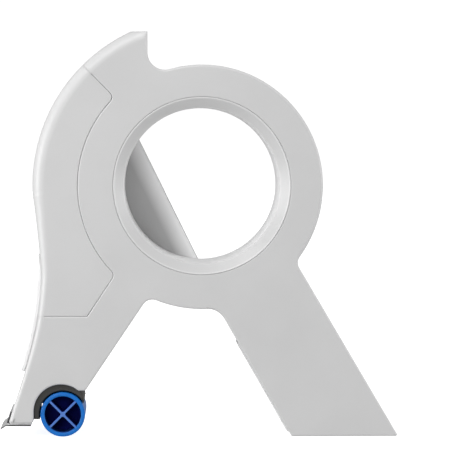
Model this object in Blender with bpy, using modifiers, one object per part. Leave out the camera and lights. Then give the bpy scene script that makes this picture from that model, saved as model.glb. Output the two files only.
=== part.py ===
"""A masking tape dispenser: an open-sided hand tool with a turning drum, a press roller and a toothed blade.

The near side faces -Y, +X is to the right of someone who looks at it, and +Z is up. The origin is on the
floor under the middle of the whole tool. All sizes are in metres.
"""

import math

import bmesh
import bpy
import numpy as np
from mathutils import Matrix

MM = 0.001

# Overall sizes
BODY_HEIGHT = 188.9 * MM
BODY_DEPTH = 46.0 * MM
LEG_REACH = 91.8 * MM
BLADE_REACH = 94.3 * MM

# Walls, gaps and fits
PLATE = 2.2 * MM
WALL = 2.2 * MM
SEAT_GAP = 0.3 * MM
SEAM = 0.4 * MM
OVERRUN = 3.0 * MM
MERGE = 0.001 * MM
WELD = 0.01 * MM

# Outline of the sides
HOOK_RISE = 71.8 * MM
DISC_RADIUS = 56.4 * MM
CROTCH_RADIUS = 57.5 * MM
SPINE_RADIUS = 79.0 * MM
HOOK_REACH = 25.3 * MM
NOTCH_FILLET = 8.0 * MM
WAIST_FILLET = 5.0 * MM
CROTCH_FILLET = 5.0 * MM
CORNER_FILLET = 1.5 * MM
TOE_HEIGHT = 6.4 * MM
LEG_FOOT = 48.8 * MM
LEG_OUTER_OFFSET = 19.7 * MM
LEG_INNER_OFFSET = 20.7 * MM
TAIL_SETBACK = 10.6 * MM
TAIL_HEIGHT = 21.6 * MM
TAIL_OFFSET = 8.1 * MM
SPINE_END_ANGLE = 183.0

# The spine's lower curve: across as shares of the spine's radius, up as shares of the drum's height
SPINE_CURVE_SHARES = (
    (0.9785, 0.8617),
    (0.9557, 0.7125),
    (0.9494, 0.6236),
    (0.9722, 0.4645),
    (1.0266, 0.3057),
)

# Rounded edges of the sides
SPINE_ROUND = 5.6 * MM
TOE_ROUND = 1.9 * MM
HOOK_ROUND = 2.3 * MM
DISC_ROUND = 1.2 * MM
EDGE_ROUND = 0.8 * MM

# Depths of the rims
RIM_DEPTH = 11.0 * MM
LEG_SPLIT = 21.0 * MM

# Drum
BORE_RADIUS = 36.3 * MM
BORE_TAPER = 0.35 * MM
DRUM_WALL = 1.5 * MM
FLARE_WIDTH = 5.1 * MM
FLARE_DEPTH = 3.2 * MM
FLARE_LIP = 0.8 * MM
COLLAR_HEIGHT = 2.6 * MM
COLLAR_WIDTH = 5.0 * MM
SNAP_HEIGHT = 0.7 * MM
SNAP_WIDTH = 1.0 * MM

# Grip
GRIP_INNER_RADIUS = 58.0 * MM
GRIP_TOP_ANGLE = 134.7
GRIP_LOW_ANGLE = 225.5
GRIP_TAIL_ANGLE = 236.3
GRIP_FOOT_DROP = 60.9 * MM
GRIP_TIP_FILLET = 3.0 * MM
SPINE_WALL_RADIUS = 57.2 * MM
SPINE_WALL = 1.8 * MM
GRIP_RIB = 2.0 * MM

# Far side's free edge
FREE_EDGE_RAKE = 26.3
FREE_EDGE_OFFSET = 16.9 * MM
FREE_EDGE_RISE = 28.3 * MM
FREE_EDGE_FILLET = 7.0 * MM
AXLE_LOBE_RADIUS = 7.6 * MM

# Front apron and the wide edge of the rear leg
APRON_THICKNESS = 1.9 * MM
APRON_THIN = 0.6 * MM
APRON_TOP_DROP = 31.7 * MM
APRON_FULL_DROP = 47.7 * MM
APRON_BOTTOM = 29.3 * MM
LEG_LAP = 2.6 * MM
LEG_LAP_DROP = 73.7 * MM

# Press roller and its mounting
ROLLER_SETBACK = 25.3 * MM
ROLLER_RADIUS = 10.4 * MM
ROLLER_RIM = 1.9 * MM
ROLLER_INSET = 1.2 * MM
ROLLER_RIB = 1.0 * MM
RIB_DEPTH = 14.0 * MM
ROLLER_WEB = 2.5 * MM
ROLLER_BOSS_RADIUS = 4.6 * MM
ROLLER_BOSS_LENGTH = 4.0 * MM
RECESS_RADIUS = 12.8 * MM
RECESS_SHIFT = 0.8 * MM
RECESS_RISE = 1.3 * MM
GUARD_CLEARANCE = 0.6 * MM
GUARD_LEFT_HEIGHT = 8.1 * MM
TOE_BLOCK_TOP = 24.5 * MM
GUARD_RIGHT_SHIFT = 9.8 * MM
SHAFT_RADIUS = 2.0 * MM
SHAFT_STUB = 1.6 * MM
BUSH_WALL = 1.2 * MM
BUSH_SPACING = 7.0 * MM
FLANGE_WIDTH = 1.2 * MM
FLANGE_THICKNESS = 0.8 * MM
AXLE_BOSS_WALL = 2.8 * MM
WASHER_THICKNESS = 0.8 * MM
CLIP_THICKNESS = 0.8 * MM
CLIP_WIDTH = 1.9 * MM
GROOVE_DEPTH = 0.5 * MM
CLIP_POCKET_DEPTH = 3.4 * MM
CLIP_POCKET_GAP = 0.6 * MM

# Blade
SHEET = 0.5 * MM
FLANGE_LENGTH = 10.4 * MM
BLADE_OVERHANG = 4.0 * MM
BLADE_TIP_HEIGHT = 3.0 * MM
BLADE_BEND = 2.6 * MM
HOLDER_HEIGHT = 6.4 * MM
HOLDER_GAP = 1.2 * MM
TOOTH_PITCH = 1.6 * MM
TOOTH_DEPTH = 1.1 * MM
BLADE_MARGIN = 1.0 * MM

# Fasteners
POST_RADIUS = 3.2 * MM
SCREW_RADIUS = 1.3 * MM
SCREW_LENGTH = 12.0 * MM
HEAD_RADIUS = 2.6 * MM
HEAD_HEIGHT = 1.5 * MM
DRIVE_RADIUS = 1.1 * MM
DRIVE_DEPTH = 0.9 * MM
BLADE_SCREW_RADIUS = 0.9 * MM
BLADE_SCREW_LENGTH = 7.0 * MM
BLADE_HEAD_RADIUS = 1.9 * MM
BLADE_HEAD_HEIGHT = 1.1 * MM
BLADE_SCREW_SETBACK = 5.2 * MM
BLADE_SCREW_MARGIN = 8.35 * MM
WELL_DEPTH = 4.0 * MM
WELL_WALL = 1.2 * MM
WELL_FLOOR = 1.6 * MM

# Places of the posts. The hook's and the grip's are shares of the spine's radius, across and up from the
# drum's axis. The left leg's are across as shares of that radius, and up as shares of the drum's height.
HOOK_POST_SHARES = (0.425, 0.75)
GRIP_BOSS_SHARES = ((0.728, 0.2935), (0.834, -0.3557))
LEG_POST_SHARES = ((0.868, 0.42), (0.925, 0.268))
REAR_POST_HEIGHT_SHARES = (0.13, 0.29, 0.43)

ARCH_START_ANGLE = 70
ROOT_START_ANGLE = 120
ROOT_END_ANGLE = 176

# Fineness of the round shapes
ARC_STEP = 3.6 * MM
SMALL_ARC_STEP = 1.4 * MM
ROUND_STEPS = 3
DRUM_SIDES = 64
ROLLER_SIDES = 36
SMALL_SIDES = 16
DRIVE_SIDES = 6
CURVE_STEPS = 4



def rake_past(reach, drop, offset):
    """The rake of an edge that starts at a reach beside the drum's axis and a drop below it, and passes the
    axis at an offset: on its far side where the offset is positive."""
    return math.degrees(math.atan2(reach, drop) + math.asin(offset / math.hypot(reach, drop)))


# Places that follow from these sizes
NEAR = -BODY_DEPTH / 2
FAR = BODY_DEPTH / 2
PLATE_BACK = NEAR + PLATE
FAR_PLATE_FACE = FAR - PLATE
RIM_END = NEAR + RIM_DEPTH
SHELL_START = RIM_END + SEAT_GAP
LEG_RIM_END = NEAR + LEG_SPLIT
LEG_SHELL_START = LEG_RIM_END + SEAT_GAP
HUB_X = (BLADE_REACH - LEG_REACH) / 2
HUB_HEIGHT = BODY_HEIGHT - HOOK_RISE
HUB = (HUB_X, HUB_HEIGHT)
TOE_REACH = BLADE_REACH - BLADE_OVERHANG
ROLLER_REACH = TOE_REACH - ROLLER_SETBACK
TAIL_REACH = ROLLER_REACH - TAIL_SETBACK
GUARD_RIGHT_REACH = ROLLER_REACH - GUARD_RIGHT_SHIFT
LEG_OUTER_RAKE = rake_past(LEG_REACH, HUB_HEIGHT, -LEG_OUTER_OFFSET)
LEG_INNER_RAKE = rake_past(LEG_REACH - LEG_FOOT, HUB_HEIGHT, LEG_INNER_OFFSET)
TAIL_RAKE = rake_past(TAIL_REACH, HUB_HEIGHT - TAIL_HEIGHT, TAIL_OFFSET)
GRIP_FOOT_HEIGHT = HUB_HEIGHT - GRIP_FOOT_DROP
FREE_EDGE_HEIGHT = HUB_HEIGHT + FREE_EDGE_RISE
APRON_TOP = HUB_HEIGHT - APRON_TOP_DROP
APRON_FULL = HUB_HEIGHT - APRON_FULL_DROP
LEG_LAP_TOP = HUB_HEIGHT - LEG_LAP_DROP
ROLLER = (HUB_X - ROLLER_REACH, ROLLER_RADIUS)
FLARE_RADIUS = BORE_RADIUS + FLARE_WIDTH
DRUM_RADIUS = BORE_RADIUS + DRUM_WALL
WINDOW_RADIUS = DRUM_RADIUS + SEAT_GAP
COLLAR_END = PLATE_BACK + COLLAR_HEIGHT
GUARD_INNER = ROLLER_RADIUS + GUARD_CLEARANCE
GUARD_OUTER = RECESS_RADIUS + SEAT_GAP
GUARD_SEAT = GUARD_OUTER + SEAT_GAP
TOE_EDGE = ROLLER[0] - RECESS_SHIFT - RECESS_RADIUS
RECESS = (ROLLER[0] - RECESS_SHIFT, ROLLER_RADIUS + RECESS_RISE)
TOE_TIP = (HUB_X - TOE_REACH, TOE_HEIGHT)
TAIL = (HUB_X - TAIL_REACH, TAIL_HEIGHT)
HOOK_X = HUB_X - HOOK_REACH
BUSH_BORE = SHAFT_RADIUS + SEAT_GAP
BUSH_RADIUS = BUSH_BORE + BUSH_WALL
BUSH_SEAT = BUSH_RADIUS + SEAT_GAP
FLANGE_RADIUS = BUSH_RADIUS + FLANGE_WIDTH
AXLE_BOSS_RADIUS = BUSH_SEAT + AXLE_BOSS_WALL
CLIP_RADIUS = BUSH_BORE + CLIP_WIDTH
CLIP_POCKET_FLOOR = FAR - CLIP_POCKET_DEPTH
CLIP_POCKET_RADIUS = FLANGE_RADIUS + CLIP_POCKET_GAP
ROLLER_START = NEAR + ROLLER_INSET
ROLLER_END = FAR_PLATE_FACE - ROLLER_INSET
WEB_START = ROLLER_START + RIB_DEPTH
WEB_END = WEB_START + ROLLER_WEB
ROLLER_BOSS_END = WEB_END + ROLLER_BOSS_LENGTH
WASHER_START = ROLLER_BOSS_END + SEAT_GAP
INNER_FLANGE_START = WASHER_START + WASHER_THICKNESS + SEAT_GAP
AXLE_BOSS_START = INNER_FLANGE_START + FLANGE_THICKNESS + SEAT_GAP
OUTER_FLANGE_START = CLIP_POCKET_FLOOR + SEAT_GAP
BUSH_LENGTH = (OUTER_FLANGE_START - INNER_FLANGE_START - FLANGE_THICKNESS - BUSH_SPACING) / 2
CLIP_START = OUTER_FLANGE_START + FLANGE_THICKNESS + SEAT_GAP
SHAFT_START = WEB_START + ROLLER_WEB / 2
SHAFT_END = CLIP_START + CLIP_THICKNESS + SHAFT_STUB / 2
SCREW_SEAT = FAR - WELL_DEPTH
WELL_START = SCREW_SEAT - WELL_FLOOR
WELL_RADIUS = HEAD_RADIUS + SEAT_GAP + WELL_WALL
POST_END = WELL_START - SEAT_GAP
HOLDER_TOP = TOE_HEIGHT - SEAT_GAP
BLADE_TOP = HOLDER_TOP - SHEET - SEAT_GAP
BLADE_SCREW_SPACING = FAR - SHELL_START - 2 * BLADE_SCREW_MARGIN

# A quarter turn about X, exact, that stands a flat drawing up in the plane of the sides
STAND_UP = Matrix(((1, 0, 0, 0), (0, 0, -1, 0), (0, 1, 0, 0), (0, 0, 0, 1)))

# Colours, roughness and metallic values
COLOURS = {
    "body_plastic": ((0.60, 0.605, 0.61), 0.42, 0.0),
    "grip_plastic": ((0.62, 0.625, 0.63), 0.45, 0.0),
    "apron_plastic": ((0.54, 0.545, 0.55), 0.5, 0.0),
    "drum_plastic": ((0.63, 0.63, 0.635), 0.36, 0.0),
    "guard_plastic": ((0.035, 0.037, 0.036), 0.55, 0.0),
    "roller_plastic": ((0.010, 0.165, 0.62), 0.32, 0.0),
    "bush_plastic": ((0.72, 0.70, 0.62), 0.5, 0.0),
    "blade_steel": ((0.42, 0.42, 0.43), 0.3, 1.0),
    "shaft_steel": ((0.55, 0.55, 0.56), 0.28, 1.0),
    "screw_steel": ((0.35, 0.35, 0.36), 0.35, 1.0),
}


# Scene, materials and collections


def clear_scene():
    for old in list(bpy.data.objects):
        bpy.data.objects.remove(old)


def new_collection(name):
    collection = bpy.data.collections.new(name)
    bpy.context.scene.collection.children.link(collection)
    return collection


def make_material(name):
    colour, roughness, metallic = COLOURS[name]
    material = bpy.data.materials.new(name)
    material.use_nodes = True
    shader = material.node_tree.nodes["Principled BSDF"]
    shader.inputs["Base Color"].default_value = (*colour, 1)
    shader.inputs["Roughness"].default_value = roughness
    shader.inputs["Metallic"].default_value = metallic
    return material


def put_in(thing, collection):
    for holder in list(thing.users_collection):
        holder.objects.unlink(thing)
    collection.objects.link(thing)


def as_part(thing, name, material):
    """Names a finished solid, gives it its material and puts it among the parts."""
    if any(step.type == "BOOLEAN" for step in thing.modifiers):
        weld = thing.modifiers.new("weld", "WELD")
        weld.merge_threshold = WELD
    thing.name = name
    thing.data.materials.clear()
    thing.data.materials.append(MATERIALS[material])
    put_in(thing, PARTS)
    return thing


def as_cutter(thing, name):
    thing.name = name
    thing.hide_render = True
    thing.display_type = "WIRE"
    put_in(thing, CUTTERS)
    return thing


def combine(target, other, operation):
    step = target.modifiers.new(other.name, "BOOLEAN")
    step.operation = operation
    step.solver = "EXACT"
    step.object = other


def cut(target, *others):
    for other in others:
        combine(target, other, "DIFFERENCE")


def join(target, *others):
    for other in others:
        combine(target, other, "UNION")


def keep(target, other):
    combine(target, other, "INTERSECT")


def cut_as_manifold(thing):
    """Sets the solver for closed meshes on a side, where the exact one can lose a face of a post."""
    for step in thing.modifiers:
        step.solver = "MANIFOLD"


# Points in the plane of the sides, as (x, z)


def polar(centre, radius, angle):
    turn = math.radians(angle)
    return (centre[0] + radius * math.cos(turn), centre[1] + radius * math.sin(turn))


def arc(centre, radius, start, end, step=ARC_STEP):
    """Points along an arc, both ends included, no further apart than the step."""
    length = abs(math.radians(end - start)) * radius
    pieces = max(2, math.ceil(length / step))
    return [polar(centre, radius, start + (end - start) * i / pieces) for i in range(pieces + 1)]


def angle_of(centre, point):
    return math.degrees(math.atan2(point[1] - centre[1], point[0] - centre[0]))


def unit(start, end):
    length = math.hypot(end[0] - start[0], end[1] - start[1])
    return ((end[0] - start[0]) / length, (end[1] - start[1]) / length)


def along(point, direction, distance):
    return (point[0] + direction[0] * distance, point[1] + direction[1] * distance)


def lean(rake):
    """The direction of an edge that leans to the left as it rises, by the rake in degrees from upright."""
    return (-math.sin(math.radians(rake)), math.cos(math.radians(rake)))


def line_meets_circle(point, direction, centre, radius, far=True):
    """Where a line meets a circle: the further meeting along its direction, or the nearer."""
    to_centre = (point[0] - centre[0], point[1] - centre[1])
    middle = -(to_centre[0] * direction[0] + to_centre[1] * direction[1])
    gap = to_centre[0] ** 2 + to_centre[1] ** 2 - middle**2
    reach = math.sqrt(max(radius**2 - gap, 0))
    return along(point, direction, middle + (reach if far else -reach))


def lines_meet(a, a_way, b, b_way):
    cross = a_way[0] * b_way[1] - a_way[1] * b_way[0]
    distance = ((b[0] - a[0]) * b_way[1] - (b[1] - a[1]) * b_way[0]) / cross
    return along(a, a_way, distance)


def rounded_corner(before, corner, after, radius, step=SMALL_ARC_STEP):
    """The corner of a path, replaced by an arc that touches both of its sides."""
    back = unit(corner, before)
    on = unit(corner, after)
    half = math.acos(max(-1, min(1, back[0] * on[0] + back[1] * on[1]))) / 2
    middle = unit((0, 0), (back[0] + on[0], back[1] + on[1]))
    centre = along(corner, middle, radius / math.sin(half))
    touch = radius / math.tan(half)
    start = angle_of(centre, along(corner, back, touch))
    end = angle_of(centre, along(corner, on, touch))
    end += 360 * round((start - end) / 360)
    return arc(centre, radius, start, end, step)


def flowing_curve(points, steps):
    """A smooth curve through the points, with each tangent taken from the two neighbours."""
    padded = np.array([points[0], *points, points[-1]])
    curve = []
    for i in range(1, len(padded) - 2):
        start, end = padded[i], padded[i + 1]
        leave = (padded[i + 1] - padded[i - 1]) / 2
        arrive = (padded[i + 2] - padded[i]) / 2
        for t in np.arange(steps) / steps:
            a = 2 * t**3 - 3 * t**2 + 1
            b = t**3 - 2 * t**2 + t
            c = 3 * t**2 - 2 * t**3
            d = t**3 - t**2
            curve.append(tuple(float(v) for v in a * start + b * leave + c * end + d * arrive))
    return curve


def spine_curve():
    """The lower front line, from the end of the spine's arc down to the tip of the toe."""
    points = [(HUB_X - across * SPINE_RADIUS, up * HUB_HEIGHT) for across, up in SPINE_CURVE_SHARES]
    start = polar(HUB, SPINE_RADIUS, SPINE_END_ANGLE)
    return [*flowing_curve([start, *points, TOE_TIP], CURVE_STEPS), TOE_TIP]


# Outline of the sides, in stretches: each is (points, edge rounding, wall inset)


def disc_and_leg():
    """The right leg's outer edge, the waist, the disc and the notch, from the floor up to the hook."""
    corner = (HUB_X + LEG_REACH, 0)
    outer = lean(LEG_OUTER_RAKE)
    inward = (-outer[1], outer[0])
    waist_line = along(corner, inward, -WAIST_FILLET)
    waist = line_meets_circle(waist_line, outer, HUB, DISC_RADIUS + WAIST_FILLET, far=False)
    waist_start = angle_of(waist, along(waist, inward, WAIST_FILLET))
    waist_end = angle_of(waist, HUB)
    waist_end += 360 * round((waist_start - waist_end) / 360)
    notch = line_meets_circle((HOOK_X + NOTCH_FILLET, HUB_HEIGHT), (0, 1), HUB, DISC_RADIUS + NOTCH_FILLET)
    notch_start = angle_of(notch, HUB)
    disc = arc(HUB, DISC_RADIUS, angle_of(HUB, waist), angle_of(HUB, notch))
    return [
        ([corner], EDGE_ROUND, WALL),
        (arc(waist, WAIST_FILLET, waist_start, waist_end, SMALL_ARC_STEP), EDGE_ROUND, WALL),
        (disc[1:-1], DISC_ROUND, -OVERRUN),
        (arc(notch, NOTCH_FILLET, notch_start, -180, SMALL_ARC_STEP), DISC_ROUND, WALL),
    ]


def hook_and_spine():
    """The hook's end and flat top, the spine's arc and the lower front line down to the toe."""
    top_left = math.degrees(math.pi - math.asin(HOOK_RISE / SPINE_RADIUS))
    arc_points = arc(HUB, SPINE_RADIUS, top_left, SPINE_END_ANGLE)
    lower = spine_curve()[1:]
    stretches = [([(HOOK_X, BODY_HEIGHT)], HOOK_ROUND, WALL), (arc_points, SPINE_ROUND, WALL)]
    for point in lower[:-1]:
        share = (point[1] - TOE_HEIGHT) / (HUB_HEIGHT - TOE_HEIGHT)
        rounding = TOE_ROUND + (SPINE_ROUND - TOE_ROUND) * max(share, 0) ** 2
        stretches.append(([point], rounding, WALL))
    stretches.append(([lower[-1]], EDGE_ROUND, WALL))
    return stretches


def toe_corner():
    """The rounded rear corner of the toe's underside."""
    return rounded_corner(TOE_TIP, (TOE_EDGE, TOE_HEIGHT), (TOE_EDGE, RECESS[1]), CORNER_FILLET)


def recess_end():
    return line_meets_circle(TAIL, (-1, 0), RECESS, RECESS_RADIUS, far=False)


def toe_and_recess(corner):
    """The toe's underside, with the points of its rear corner, and the recess over the roller."""
    recess = arc(RECESS, RECESS_RADIUS, 180, angle_of(RECESS, recess_end()), SMALL_ARC_STEP)
    return [(corner, EDGE_ROUND, WALL), (recess, EDGE_ROUND, -OVERRUN)]


def tail_edge():
    """The left leg's rear corner and the start of its rear edge."""
    upward = along(TAIL, lean(-TAIL_RAKE), HUB_HEIGHT)
    return [(rounded_corner(recess_end(), TAIL, upward, CORNER_FILLET), EDGE_ROUND, -OVERRUN)]


def crotch_left():
    """The fillet between the left leg's rear edge and the arc under the disc."""
    upward = lean(-TAIL_RAKE)
    right = (upward[1], -upward[0])
    start = along(TAIL, right, CROTCH_FILLET)
    centre = line_meets_circle(start, upward, HUB, CROTCH_RADIUS + CROTCH_FILLET, far=False)
    first = angle_of(centre, along(centre, right, -CROTCH_FILLET))
    last = angle_of(centre, HUB)
    first += 360 * round((last - first) / 360)
    return centre, arc(centre, CROTCH_FILLET, first, last, SMALL_ARC_STEP)


def crotch_right():
    """The fillet between the arc under the disc and the right leg's inner edge."""
    foot = (HUB_X + LEG_REACH - LEG_FOOT, 0)
    upward = lean(LEG_INNER_RAKE)
    left = (-upward[1], upward[0])
    start = along(foot, left, CROTCH_FILLET)
    centre = line_meets_circle(start, upward, HUB, CROTCH_RADIUS + CROTCH_FILLET, far=False)
    first = angle_of(centre, HUB)
    last = angle_of(centre, along(centre, left, -CROTCH_FILLET))
    last += 360 * round((first - last) / 360)
    return centre, arc(centre, CROTCH_FILLET, first, last, SMALL_ARC_STEP)


def crotch_and_leg():
    """The crotch and the right leg's inner edge, down to the floor."""
    left_centre, left = crotch_left()
    right_centre, right = crotch_right()
    under = arc(HUB, CROTCH_RADIUS, angle_of(HUB, left_centre), angle_of(HUB, right_centre))
    foot = (HUB_X + LEG_REACH - LEG_FOOT, 0)
    return [
        (left, EDGE_ROUND, -OVERRUN),
        (under[1:-1], EDGE_ROUND, -OVERRUN),
        (right, EDGE_ROUND, WALL),
        ([foot], EDGE_ROUND, WALL),
    ]


def flatten(stretches):
    points, rounds, insets = [], [], []
    for stretch, rounding, inset in stretches:
        for point in stretch:
            if points and math.dist(points[-1], point) < SEAT_GAP:
                continue
            points.append(point)
            rounds.append(rounding)
            insets.append(inset)
    return points, rounds, insets


def inset_points(points, distances):
    """Each corner of a closed anticlockwise path moved inwards, square to both of its sides."""
    here = np.array(points)
    before = here - np.roll(here, 1, axis=0)
    after = np.roll(here, -1, axis=0) - here
    before /= np.linalg.norm(before, axis=1)[:, None]
    after /= np.linalg.norm(after, axis=1)[:, None]
    normal_before = np.stack([-before[:, 1], before[:, 0]], axis=1)
    normal_after = np.stack([-after[:, 1], after[:, 0]], axis=1)
    spread = 1 + np.sum(normal_before * normal_after, axis=1)
    move = (normal_before + normal_after) / spread[:, None]
    return here + move * np.array(distances)[:, None]


# Solids


def mesh_object(name, mesh):
    thing = bpy.data.objects.new(name, mesh)
    bpy.context.scene.collection.objects.link(thing)
    return thing


def flat_solid(name, loops, near, far):
    """A flat outline with any holes, made as a filled curve and stood up in the plane of the sides."""
    curve = bpy.data.curves.new(name, "CURVE")
    curve.dimensions = "2D"
    curve.fill_mode = "BOTH"
    curve.extrude = (far - near) / 2
    for loop in loops:
        spline = curve.splines.new("POLY")
        spline.points.add(len(loop) - 1)
        for point, (x, z) in zip(spline.points, loop):
            point.co = (x, z, 0, 1)
        spline.use_cyclic_u = True
    drawn = bpy.data.objects.new(name, curve)
    drawn.location = (0, (near + far) / 2, 0)
    bpy.context.scene.collection.objects.link(drawn)
    bpy.context.view_layer.update()
    evaluated = drawn.evaluated_get(bpy.context.evaluated_depsgraph_get())
    mesh = bpy.data.meshes.new_from_object(evaluated)
    work = bmesh.new()
    work.from_mesh(mesh)
    bmesh.ops.remove_doubles(work, verts=work.verts, dist=MERGE)
    bmesh.ops.transform(work, matrix=STAND_UP, verts=work.verts)
    bmesh.ops.recalc_face_normals(work, faces=work.faces)
    work.to_mesh(mesh)
    work.free()
    solid = mesh_object(name, mesh)
    solid.matrix_world = drawn.matrix_world
    bpy.data.objects.remove(drawn)
    return solid


def rounded_slab(name, points, rounds, near, far, round_near, round_far):
    """A slab of an outline whose edges are quarter rounds of a radius that changes along the outline."""
    rounds = np.array(rounds)
    quarter = np.radians(np.linspace(0, 90, ROUND_STEPS + 1))
    steps = []
    if round_near:
        steps += [(1 - math.sin(a), 1 - math.cos(a), near, 1) for a in quarter]
    else:
        steps.append((0, 0, near, 1))
    if round_far:
        steps += [(1 - math.sin(a), 1 - math.cos(a), far, -1) for a in quarter[::-1]]
    else:
        steps.append((0, 0, far, -1))
    work = bmesh.new()
    rings = []
    for inward, down, face, side in steps:
        flat = inset_points(points, rounds * inward)
        depth = face + side * rounds * down
        rings.append([work.verts.new((x, y, z)) for (x, z), y in zip(flat, depth)])
    count = len(points)
    for ring, following in zip(rings, rings[1:]):
        for i in range(count):
            j = (i + 1) % count
            work.faces.new((ring[i], ring[j], following[j], following[i]))
    work.faces.new(rings[0])
    work.faces.new(rings[-1][::-1])
    bmesh.ops.recalc_face_normals(work, faces=work.faces)
    mesh = bpy.data.meshes.new(name)
    work.to_mesh(mesh)
    work.free()
    return mesh_object(name, mesh)


def turned(name, profile, centre, sides):
    """A solid turned about the depth axis from the (radius, depth) points round its section."""
    area = sum(a[0] * b[1] - b[0] * a[1] for a, b in zip(profile, profile[1:] + profile[:1]))
    ordered = profile if area < 0 else profile[::-1]
    count = len(ordered)
    sides_of_section = [(i, (i + 1) % count) for i in range(count)]
    off_axis = [(i, j) for i, j in sides_of_section if ordered[i][0] > 0 or ordered[j][0] > 0]
    mesh = bpy.data.meshes.new(name)
    mesh.from_pydata([(r, d, 0) for r, d in ordered], off_axis, [])
    ring = mesh_object(name, mesh)
    ring.location = (centre[0], 0, centre[1])
    screw = ring.modifiers.new("turn", "SCREW")
    screw.axis = "Y"
    screw.steps = sides
    screw.render_steps = sides
    screw.use_merge_vertices = True
    screw.merge_threshold = MERGE
    screw.use_smooth_shade = False
    return ring


def round_bar(name, centre, radius, near, far, sides=SMALL_SIDES):
    """A cylinder along the depth axis."""
    work = bmesh.new()
    bmesh.ops.create_cone(
        work, cap_ends=True, segments=sides, radius1=radius, radius2=radius, depth=far - near
    )
    bmesh.ops.transform(work, matrix=STAND_UP, verts=work.verts)
    mesh = bpy.data.meshes.new(name)
    work.to_mesh(mesh)
    work.free()
    bar = mesh_object(name, mesh)
    bar.location = (centre[0], (near + far) / 2, centre[1])
    return bar


def box(name, low, high):
    middle = [(a + b) / 2 for a, b in zip(low, high)]
    bpy.ops.mesh.primitive_cube_add(size=1, location=middle)
    block = bpy.context.active_object
    block.scale = [b - a for a, b in zip(low, high)]
    bpy.ops.object.transform_apply(location=False, rotation=False, scale=True)
    block.name = name
    return block


def smooth(thing, angle=35):
    thing.data.shade_smooth()
    thing.data.set_sharp_from_angle(angle=math.radians(angle))


# Places of the posts and bosses


def hook_post():
    across, up = HOOK_POST_SHARES
    return (HUB_X - across * SPINE_RADIUS, HUB_HEIGHT + up * SPINE_RADIUS)


def leg_posts():
    return [(HUB_X - across * SPINE_RADIUS, up * HUB_HEIGHT) for across, up in LEG_POST_SHARES]


def rear_posts():
    """Places on the middle line of the right leg."""
    places = []
    for share in REAR_POST_HEIGHT_SHARES:
        height = share * HUB_HEIGHT
        outer = LEG_REACH - height * math.tan(math.radians(LEG_OUTER_RAKE))
        inner = LEG_REACH - LEG_FOOT - height * math.tan(math.radians(LEG_INNER_RAKE))
        places.append((HUB_X + (outer + inner) / 2, height))
    return places


def grip_bosses():
    return [(HUB_X - x * SPINE_RADIUS, HUB_HEIGHT + z * SPINE_RADIUS) for x, z in GRIP_BOSS_SHARES]


def spine_wall_foot():
    return polar(RECESS, GUARD_SEAT + SPINE_WALL / 2, 90)


def spine_wall_middle(height):
    """The middle of the wall behind the roll at a height: on its arc, or on its straight run below."""
    radius = SPINE_WALL_RADIUS - SPINE_WALL / 2
    if height > HUB_HEIGHT:
        return (HUB_X - math.sqrt(radius**2 - (height - HUB_HEIGHT) ** 2), height)
    foot = spine_wall_foot()
    share = (HUB_HEIGHT - height) / (HUB_HEIGHT - foot[1])
    return (HUB_X - radius + (foot[0] - HUB_X + radius) * share, height)


def screw_hole(name, place):
    """Clearance for a screw, with a well for its sunk head that is open to the far side."""
    shank = SCREW_RADIUS + SEAT_GAP
    head = HEAD_RADIUS + SEAT_GAP
    end = SCREW_SEAT - SCREW_LENGTH
    profile = [
        (0, end),
        (shank, end),
        (shank, SCREW_SEAT),
        (head, SCREW_SEAT),
        (head, FAR + OVERRUN),
        (0, FAR + OVERRUN),
    ]
    return as_cutter(turned(name, profile, place, SMALL_SIDES), name)


def screw_mesh():
    """The mesh of a pan-head screw with a six-sided drive recess, its head towards the far side."""
    seat = SCREW_SEAT + SEAT_GAP
    top = seat + HEAD_HEIGHT
    end = SCREW_SEAT - SCREW_LENGTH + SEAT_GAP
    profile = [
        (0, end),
        (SCREW_RADIUS / 2, end),
        (SCREW_RADIUS, end + SCREW_RADIUS),
        (SCREW_RADIUS, seat),
        (HEAD_RADIUS, seat),
        (HEAD_RADIUS, top - HEAD_HEIGHT / 3),
        (HEAD_RADIUS - HEAD_HEIGHT / 3, top),
        (0, top),
    ]
    screw = turned("screw", profile, (0, 0), SMALL_SIDES)
    drive = round_bar("screw_drive", (0, 0), DRIVE_RADIUS, top - DRIVE_DEPTH, top + OVERRUN, DRIVE_SIDES)
    cut(screw, drive)
    return finished_mesh(screw, drive)


def finished_mesh(thing, *helpers):
    """The mesh of a solid with its modifiers applied, in the solid's own axes. The solid is removed."""
    bpy.context.view_layer.update()
    evaluated = thing.evaluated_get(bpy.context.evaluated_depsgraph_get())
    mesh = bpy.data.meshes.new_from_object(evaluated)
    for used in (thing, *helpers):
        bpy.data.objects.remove(used)
    return mesh


# The two sides, the grip and the leg


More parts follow.
